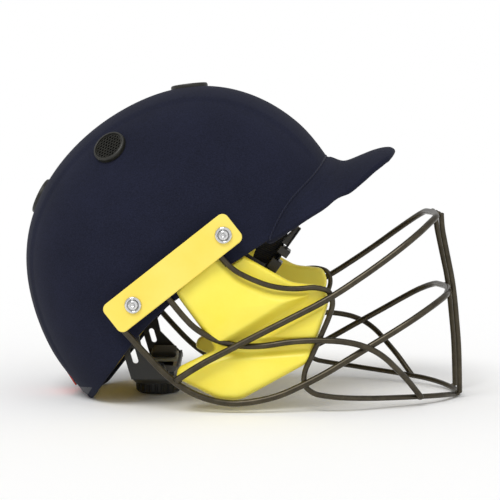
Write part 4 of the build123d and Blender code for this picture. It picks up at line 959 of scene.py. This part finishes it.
GUARD = np.array([65.0, 115.0])
GUARD_OUTLINE = [
    (-0.215, 1.070), (0.572, 0.822), (0.940, 0.800), (0.998, 0.700), (0.848, 0.439),
    (0.768, 0.314), (0.000, 0.070), (-0.232, 0.073), (-0.722, 0.212), (-0.693, 0.278),
    (-0.265, 0.397), (-0.775, 0.790),
]
BROW_PANEL = [
    (-0.340, 1.090), (0.020, 0.865), (0.369, 0.778), (0.815, 0.752), (0.030, 0.470),
    (-0.230, 0.380), (-0.520, 0.500), (-0.850, 0.740),
]
WEDGE_PANEL = [(0.190, 0.462), (1.080, 0.735), (0.930, 0.455), (0.554, 0.452)]
LOW_PANEL = [
    (-0.850, 0.240), (-0.130, 0.376), (0.154, 0.372), (0.900, 0.405), (0.860, 0.300),
    (0.030, 0.020), (-0.260, 0.015), (-0.850, 0.150),
]
# share of a run that a bend of an outline takes up, at most
OUTLINE_BEND = 0.4
# each panel's outline, rise and the width over which it rises, in millimetres
PANELS = [(BROW_PANEL, 9.0, 9.0), (WEDGE_PANEL, 4.4, 5.0), (LOW_PANEL, 4.4, 6.0)]
PANEL_GROWTH, PANEL_CORNER, PANEL_EDGE = 1.2, 6.0, 6.0
# a pillow rises steeply near its edge and then slowly, in these shares; the power of the
# steep rise, and how much wider the slow one is
STEEP, SLOW, STEEP_POWER, SLOW_SPREAD = 0.8, 0.2, 0.8, 2.5
GUARD_CORNER, BROW_CORNER = 5.0, 7.0
GUARD_EDGE, GUARD_LEAST = 2.8, 0.8
# the guard's gaps to the rim and to the shell's side
RIM_GAP, SHELL_GAP = 0.6, 1.0
# the outline's slope squared is taken as no less than this where its points are moved onto it
LEAST_SLOPE = 0.3
# spacing of the grid, and its ends along X and Z
GUARD_STEP, GUARD_SPACE = 0.8, ((-50.0, 65.0), (7.0, 116.0))


def inside_distance(x, z, shares, corner_mm):
    """Signed distance to a rounded outline in the side view, positive inside it: the least
    distance to its edges, with the sign from counting the edges crossed by a level line."""
    corners = np.array(shares) * GUARD
    loop = np.concatenate([[(corners[-1] + corners[0]) / 2], corners, [(corners[-1] + corners[0]) / 2]])
    line = rounded_route(loop, OUTLINE_BEND, OUTLINE_STEPS, corner_mm)
    gap, _ = line_distance(x, z, line)
    a, b = line[:-1], line[1:]
    level = z[..., None]
    crosses = (a[:, 1] > level) != (b[:, 1] > level)
    rise = np.where(np.abs(b[:, 1] - a[:, 1]) < 1e-9, 1e-9, b[:, 1] - a[:, 1])
    where = a[:, 0] + (level - a[:, 1]) * (b[:, 0] - a[:, 0]) / rise
    inside = (crosses & (x[..., None] < where)).sum(-1) % 2 == 1
    return np.where(inside, gap, -gap)


def guard_distance(x, z):
    """Signed distance to the guard's outline, cut off along the rim except at the brow."""
    outline = inside_distance(x, z, GUARD_OUTLINE, GUARD_CORNER)
    rim_gap, _ = line_distance(x, z, RIM_LINE)
    below = np.where(z < rim_height(x), rim_gap, -rim_gap) - RIM_GAP
    brow = inside_distance(x, z, BROW_PANEL, BROW_CORNER)
    return np.maximum(np.minimum(outline, below), np.minimum(brow, outline))


def rolled(distance, radius):
    """Height share of a rounded edge: sqrt(1 - (1 - d / r)^2), one from r inwards."""
    return np.sqrt(1 - (1 - np.clip(distance / radius, 0, 1)) ** 2)


def guard_shell(name, side):
    """Guard from two height fields over one grid in the side view. The outer one is
    inner + wall - e + e roll(D) plus each panel's rise as a pillow, the inner one is
    inner + e - e roll(D); the grid's edge points move onto the outline D = 0."""
    x, z = np.meshgrid(*(np.arange(*span, GUARD_STEP) for span in GUARD_SPACE), indexing="ij")
    field = guard_distance(x, z)
    quads = grid_faces(*x.shape)
    quads = quads[field.ravel()[quads].mean(1) > 0]
    used, quads = np.unique(quads, return_inverse=True)
    quads = quads.reshape(-1, 4)
    x, z = x.ravel()[used], z.ravel()[used]
    edges = np.concatenate([quads[:, [i, (i + 1) % 4]] for i in range(4)])
    _, first, count = np.unique(np.sort(edges, 1), axis=0, return_index=True, return_counts=True)
    border = edges[first[count == 1]]
    rim = np.unique(border)
    for _ in range(3):
        rim_x, rim_z = x[rim], z[rim]
        d = guard_distance(rim_x, rim_z)
        dx = (guard_distance(rim_x + NEAR, rim_z) - guard_distance(rim_x - NEAR, rim_z)) / (2 * NEAR)
        dz = (guard_distance(rim_x, rim_z + NEAR) - guard_distance(rim_x, rim_z - NEAR)) / (2 * NEAR)
        size = np.maximum(dx**2 + dz**2, LEAST_SLOPE)
        x[rim] -= d * dx / size
        z[rim] -= d * dz / size
    d = guard_distance(x, z)
    d[rim] = 0
    inner, wall = SIZES["guard_inner"], SIZES["guard_wall"]
    outer_y = inner + wall - GUARD_EDGE + GUARD_EDGE * rolled(d, GUARD_EDGE)
    edge = rolled(d, PANEL_EDGE)
    for shares, rise, spread in PANELS:
        panel = inside_distance(x, z, shares, PANEL_CORNER) + PANEL_GROWTH
        steep, slow = smoothstep(panel / spread), smoothstep(panel / (SLOW_SPREAD * spread))
        pillow = STEEP * steep**STEEP_POWER + SLOW * slow
        outer_y = outer_y + rise * pillow * edge
    inner_y = inner + GUARD_EDGE - GUARD_EDGE * rolled(d, GUARD_EDGE)
    under = z > rim_height(x) - RIM_GAP
    inner_y = np.where(under, np.maximum(inner_y, half_width(x, z) + SHELL_GAP), inner_y)
    inner_y = np.minimum(inner_y, outer_y - GUARD_LEAST)
    points = np.concatenate([as_points(x, side * y, z) for y in (outer_y, inner_y)])
    walls = np.concatenate([border, border[:, ::-1] + len(x)], 1)
    faces = np.concatenate([quads, quads[:, ::-1] + len(x), walls])
    return outward(make_mesh(name, points, faces))


# Straps

# webbing: thickness, spacing of the rings, points across each face and turns of the points
# round an edge; number of points on a straight length
WEB_THICKNESS, WEB_STEP, WEB_COLUMNS, WEB_TURNS = 1.4, 1.6, 9, (60, 30, 0, -30, -60)
STRAIGHT_POINTS = 20


def ribbon(name, line, across, width):
    """Flat strap: at each station of its centre line a flat ring with rounded edges, whose
    width runs along one fixed direction; UV holds the distances along and across."""
    route = evenly(np.asarray(line, float), WEB_STEP)
    across = np.asarray(across, float)
    off = unit(np.cross(unit(np.gradient(route, axis=0)), across))
    edge = WEB_THICKNESS / 2
    flat = width / 2 - edge
    turns = np.radians(WEB_TURNS)
    right = as_points(flat + edge * np.cos(turns), edge * np.sin(turns))
    back = as_points(np.linspace(flat, -flat, WEB_COLUMNS), -edge)
    ring = np.concatenate([right, back, -right, -back])
    points = route[:, None] + across * ring[None, :, :1] + off[:, None] * ring[None, :, 1:]
    uv = as_points(distance_along(route)[:, None], ring[None, :, 0]).reshape(-1, 2) * MM
    return skin(name, points, uv)


# the buckle leans back; the directions along and across it, and its middle
LEAN = math.radians(54.5)
ALONG = np.array([math.cos(LEAN), 0.0, math.sin(LEAN)])
ACROSS = np.array([-math.sin(LEAN), 0.0, math.cos(LEAN)])
BUCKLE = np.array([16.5, -45.0, 94.5])
# the studs' place on each side, the webbing's widths, and its bends: their share of a run,
# and the longest stretch that a bend takes up
ANCHOR, STUD_Y = np.array([-14.0, 0.0, 116.0]), 70.1
STRAP_WIDTH, FRONT_WIDTH = 20.0, 19.0
WEB_BEND, FRONT_BEND, LEFT_STRETCH, RIGHT_STRETCH = 0.45, 0.4, 16.0, 12.0
LEFT_ROUTE = [(-14.0, STUD_Y, 126.0), (-14.0, STUD_Y, 84.0), (-14.0, 9.0, 55.0), (-14.0, -22.0, 55.0)]
FRONT_ROUTE = [(27.0, -52.0, 143.0), (26.0, -51.0, 134.0), (13.0, -39.0, 97.0), (9.5, -37.0, 88.0)]
FRONT_ACROSS = (0.91, 0.0, -0.41)
# the right strap's first two points over and under the stud, then where it turns inwards and
# how high it lies over the buckle's middle
STUD_ABOVE, STUD_BELOW, RIGHT_CORNER_Y, RIGHT_HIGH = 10.0, 22.0, -57.5, 5.3


def chin_straps():
    """The five lengths of webbing between the studs, the chin pad and the buckle."""
    left = rounded_route(LEFT_ROUTE, WEB_BEND, FINE_STEPS, LEFT_STRETCH)
    dress(ribbon("web_left", left, (1, 0, 0), STRAP_WIDTH), "strap", "webbing", "strap_left")
    level = BUCKLE * np.array([1, 0, 1])
    offset = ANCHOR - level
    base, high = level + ALONG * (offset @ ALONG), offset @ ACROSS
    corners = [
        base + ACROSS * up + np.array([0, y, 0]) for y, up in (
            (-STUD_Y, high + STUD_ABOVE), (-STUD_Y, high - STUD_BELOW),
            (RIGHT_CORNER_Y, RIGHT_HIGH), (BUCKLE[1], RIGHT_HIGH))
    ]
    right = rounded_route(corners, WEB_BEND, FINE_STEPS, RIGHT_STRETCH)
    dress(ribbon("web_right", right, ALONG, STRAP_WIDTH), "strap", "webbing", "strap_right")
    # second leg of the V, from inside the brow to the buckle; only its outer face shows
    front = rounded_route(FRONT_ROUTE, FRONT_BEND, FRONT_STEPS)
    dress(ribbon("web_front", front, FRONT_ACROSS, FRONT_WIDTH), "strap", "webbing")
    for name, node, body in (("web_socket", "socket_web", "strap"), ("web_tail", "strap_tail", "plug")):
        run = (coordinates(frame["nodes"][node].data) - BUCKLE) @ ALONG
        line = BUCKLE + ALONG * np.linspace(run.min(), run.max(), STRAIGHT_POINTS)[:, None]
        dress(ribbon(name, line, (0, 1, 0), STRAP_WIDTH), body, "webbing", node)


# Pads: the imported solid's copy, puffed up by the cloth solver

# name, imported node, body, slot and size of the skin's faces in millimetres
PADS = [
    ("crown_cushion", "crown_pad", HELMET, "pad_cloth", 4.0),
    ("brow_cushion", "brow_pad", HELMET, "pad_cloth", 4.0),
    ("side_cushion_left", "side_pad_left", HELMET, "pad_cloth", 4.0),
    ("side_cushion_right", "side_pad_right", HELMET, "pad_cloth", 4.0),
    ("nape_cushion", "nape_pad", HELMET, "pad_cloth", 4.0),
    ("chin_cushion", "chin_pad", "strap", "chin_cloth", 3.0),
    ("band_cushion_left", "band_pad_left", "rack_left_body", "pad_cloth", 2.5),
    ("band_cushion_right", "band_pad_right", "rack_right_body", "pad_cloth", 2.5),
]
# furthest that a point of a pad may move, the pressure inside it and the frames it gets
PAD_MOVE, PAD_PRESSURE, PAD_FRAMES = 1.4, 4.0, 20


def frozen(piece):
    """Replaces a piece's mesh by what its modifiers make of it."""
    view = bpy.context.evaluated_depsgraph_get()
    mesh = bpy.data.meshes.new_from_object(piece.evaluated_get(view), depsgraph=view)
    piece.modifiers.clear()
    piece.data = mesh
    return piece


def pad_copies():
    """Merged copies of the pads as one closed skin each of even faces."""
    pieces = []
    for name, node, _, _, voxel in PADS:
        piece = outward(new_object(name, frame["nodes"][node].data.copy()), MERGE)
        remesh = piece.modifiers.new("even_faces", "REMESH")
        remesh.mode, remesh.voxel_size = "VOXEL", voxel * MM
        frozen(piece)
        pieces.append(piece)
    return pieces


def puff(pieces):
    """Cloth solver with pressure inside and no gravity, then the movement of each point is
    held to a small length."""
    scene = bpy.context.scene
    before = [coordinates(piece.data) for piece in pieces]
    for piece in pieces:
        cloth = piece.modifiers.new("puff", "CLOTH")
        cloth.settings.use_pressure = True
        cloth.settings.uniform_pressure_force = PAD_PRESSURE
        cloth.settings.effector_weights.gravity = 0.0
        cloth.point_cache.frame_start, cloth.point_cache.frame_end = 1, PAD_FRAMES
    for step in range(1, PAD_FRAMES + 1):
        scene.frame_set(step)
    for piece, rest in zip(pieces, before):
        moved = coordinates(frozen(piece).data) - rest
        length = np.maximum(np.linalg.norm(moved, axis=1, keepdims=True), 1e-6)
        kept = rest + moved * np.minimum(1.0, PAD_MOVE / length)
        piece.data.vertices.foreach_set("co", kept.ravel() * MM)
        piece.data.update()
    scene.frame_set(1)


def stuffed_pads():
    """The pads' skins, puffed up, softened and dressed."""
    pieces = pad_copies()
    puff(pieces)
    for piece, (_, node, body, slot, _) in zip(pieces, PADS):
        softer = piece.modifiers.new("softer", "SUBSURF")
        softer.levels = softer.render_levels = 1
        frozen(piece)
        piece.data.polygons.foreach_set("use_smooth", np.full(len(piece.data.polygons), True))
        dress(piece, body, slot, node)


def dress_packed():
    """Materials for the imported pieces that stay."""
    slots = {part["node"]: part["material_slot"] for part in frame["record"]["subparts"]}
    shown = {name: node for name, node in frame["nodes"].items() if not node.hide_render}
    for name, node in shown.items():
        if not node.material_slots:
            raise RuntimeError(f"{name} has no place for a material")
        for place in node.material_slots:
            place.material = material_for(slots[name])


# Stage

LENS, SENSOR = 103.25, 36.0
CAMERA_PLACE, CAMERA_DOWN, CAMERA_TURN = (0.0564, -1.121, 0.1868), 3.79, 2.709
# brightness of the room for light that the camera doesn't see itself
ROOM_LEVEL = 0.62
# name, turn in degrees, strength and spread in degrees
SUNS = [("key_sun", (36, 0, -24), 1.3, 25), ("fill_sun", (60, 0, 40), 0.3, 60)]
FLOOR = [(-4000, -1500, 0), (4000, -1500, 0), (4000, 9000, 0), (-4000, 9000, 0)]
WHITE = (1.0, 1.0, 1.0, 1.0)


def place_camera(scene):
    """Camera at the photograph's angle: 2.7 degrees off square, 3.8 degrees down."""
    data = bpy.data.cameras.new("photo_camera")
    data.lens, data.sensor_width = LENS, SENSOR
    scene.camera = new_object("photo_camera", data)
    scene.camera.location = CAMERA_PLACE
    scene.camera.rotation_euler = (math.radians(90 - CAMERA_DOWN), 0.0, math.radians(CAMERA_TURN))


def light_stage(scene):
    """A white room: the world lights evenly, a wide sun gives the forms their shade, and the
    floor keeps the shadow."""
    scene.world = bpy.data.worlds.new("white_room")
    scene.world.use_nodes = True
    tree = scene.world.node_tree
    tree.nodes.clear()
    path = add_node(tree, "ShaderNodeLightPath").outputs
    seen = add_node(
        tree, "ShaderNodeMath", {"operation": "MAXIMUM"},
        {0: path["Is Camera Ray"], 1: path["Is Transmission Ray"]})
    level = add_node(
        tree, "ShaderNodeMapRange", {"To Min": ROOM_LEVEL, "To Max": 1.0}, {"Value": seen.outputs[0]})
    shine = add_node(
        tree, "ShaderNodeBackground", {"Color": WHITE}, {"Strength": level.outputs["Result"]})
    add_node(tree, "ShaderNodeOutputWorld", links={"Surface": shine.outputs[0]})
    for name, turn, strength, spread in SUNS:
        lamp = bpy.data.lights.new(name, "SUN")
        lamp.energy, lamp.angle = strength, math.radians(spread)
        new_object(name, lamp).rotation_euler = [math.radians(a) for a in turn]
    floor = make_mesh("floor", np.array(FLOOR, float), [(0, 1, 2, 3)], smooth=False)
    white = bpy.data.materials.new("white_floor")
    white.use_nodes = True
    shader = white.node_tree.nodes["Principled BSDF"]
    shader.inputs["Base Color"].default_value = WHITE
    shader.inputs["Roughness"].default_value = 1.0
    shader.inputs["Specular IOR Level"].default_value = 0.0
    floor.data.materials.append(white)
    scene.view_settings.view_transform = "Standard"


# Operators, one for each group of pieces

class HELMET_OT_cloth(bpy.types.Operator):
    """Builds the cloth over the shell with its hem and stitched seams"""
    bl_idname = "helmet.cloth"
    bl_label = "Shell cloth"

    def execute(self, context):
        read_settings(context)
        dress(cloth_cover(), HELMET, "shell_cloth", "dome_cover", "rim_binding")
        return {"FINISHED"}


class HELMET_OT_peak(bpy.types.Operator):
    """Builds the cloth-covered peak and the piping in its seam"""
    bl_idname = "helmet.peak"
    bl_label = "Peak"

    def execute(self, context):
        read_settings(context)
        dress(peak_cover(), HELMET, "shell_cloth", "peak_core", "peak_cover")
        dress(peak_piping(), HELMET, "binding_tape")
        return {"FINISHED"}


class HELMET_OT_vents(bpy.types.Operator):
    """Builds the four ventilation caps with their honeycomb"""
    bl_idname = "helmet.vents"
    bl_label = "Ventilation caps"

    def execute(self, context):
        read_settings(context)
        for word, share in CAP_SHARES.items():
            node = f"vent_cap_{word}"
            dress(vent_cap(f"honeycomb_cap_{word}", node, share), HELMET, "vent_plastic", node)
        return {"FINISHED"}


class HELMET_OT_grille(bpy.types.Operator):
    """Builds the seven bars of the grille and their welds"""
    bl_idname = "helmet.grille"
    bl_label = "Grille"

    def execute(self, context):
        read_settings(context)
        grille_wires()
        return {"FINISHED"}


class HELMET_OT_bolts(bpy.types.Operator):
    """Builds the dome-headed bolts with their sockets, and the cup washers under them"""
    bl_idname = "helmet.bolts"
    bl_label = "Bolts"

    def execute(self, context):
        bolts_and_washers()
        return {"FINISHED"}


class HELMET_OT_guards(bpy.types.Operator):
    """Builds the two cheek guards with their raised panels"""
    bl_idname = "helmet.guards"
    bl_label = "Cheek guards"

    def execute(self, context):
        read_settings(context)
        for side, word in ((1, "left"), (-1, "right")):
            dress(guard_shell(f"guard_{word}", side), HELMET, "guard_plastic", f"cheek_guard_{word}")
        return {"FINISHED"}


class HELMET_OT_straps(bpy.types.Operator):
    """Builds the webbing of the chin strap"""
    bl_idname = "helmet.straps"
    bl_label = "Straps"

    def execute(self, context):
        chin_straps()
        return {"FINISHED"}


class HELMET_OT_pads(bpy.types.Operator):
    """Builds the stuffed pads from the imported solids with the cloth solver"""
    bl_idname = "helmet.pads"
    bl_label = "Pads"

    def execute(self, context):
        stuffed_pads()
        return {"FINISHED"}


class HELMET_OT_solid_parts(bpy.types.Operator):
    """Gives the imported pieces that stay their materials"""
    bl_idname = "helmet.solid_parts"
    bl_label = "Packed pieces"

    def execute(self, context):
        read_settings(context)
        dress_packed()
        return {"FINISHED"}


class HELMET_OT_stage(bpy.types.Operator):
    """Sets up the camera, the lights and the floor"""
    bl_idname = "helmet.stage"
    bl_label = "Stage"

    def execute(self, context):
        place_camera(context.scene)
        light_stage(context.scene)
        return {"FINISHED"}


STEPS = [
    HELMET_OT_stage, HELMET_OT_cloth, HELMET_OT_peak, HELMET_OT_vents, HELMET_OT_grille,
    HELMET_OT_bolts, HELMET_OT_guards, HELMET_OT_straps, HELMET_OT_pads, HELMET_OT_solid_parts,
]


class HELMET_PT_panel(bpy.types.Panel):
    """Lists the helmet's sizes, colours and steps"""
    bl_idname = "HELMET_PT_panel"
    bl_label = "Cricket helmet"
    bl_space_type = "VIEW_3D"
    bl_region_type = "UI"
    bl_category = "Helmet"

    def draw(self, context):
        for group in (context.scene.helmet_sizes, context.scene.helmet_colours):
            box = self.layout.box()
            for key in group.__annotations__:
                box.prop(group, key)
        for step in STEPS:
            self.layout.operator(step.bl_idname)


CLASSES = [HelmetSizes, HelmetColours, *STEPS, HELMET_PT_panel]


def register():
    """Adds the classes and hangs the settings on the scene."""
    for item in CLASSES:
        bpy.utils.register_class(item)
    bpy.types.Scene.helmet_sizes = bpy.props.PointerProperty(type=HelmetSizes)
    bpy.types.Scene.helmet_colours = bpy.props.PointerProperty(type=HelmetColours)


def unregister():
    """Takes everything away again that register added."""
    del bpy.types.Scene.helmet_colours
    del bpy.types.Scene.helmet_sizes
    for item in reversed(CLASSES):
        bpy.utils.unregister_class(item)


def main():
    """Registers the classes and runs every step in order."""
    register()
    for step in STEPS:
        group, name = step.bl_idname.split(".")
        getattr(getattr(bpy.ops, group), name)()


if __name__ == "__main__":
    main()
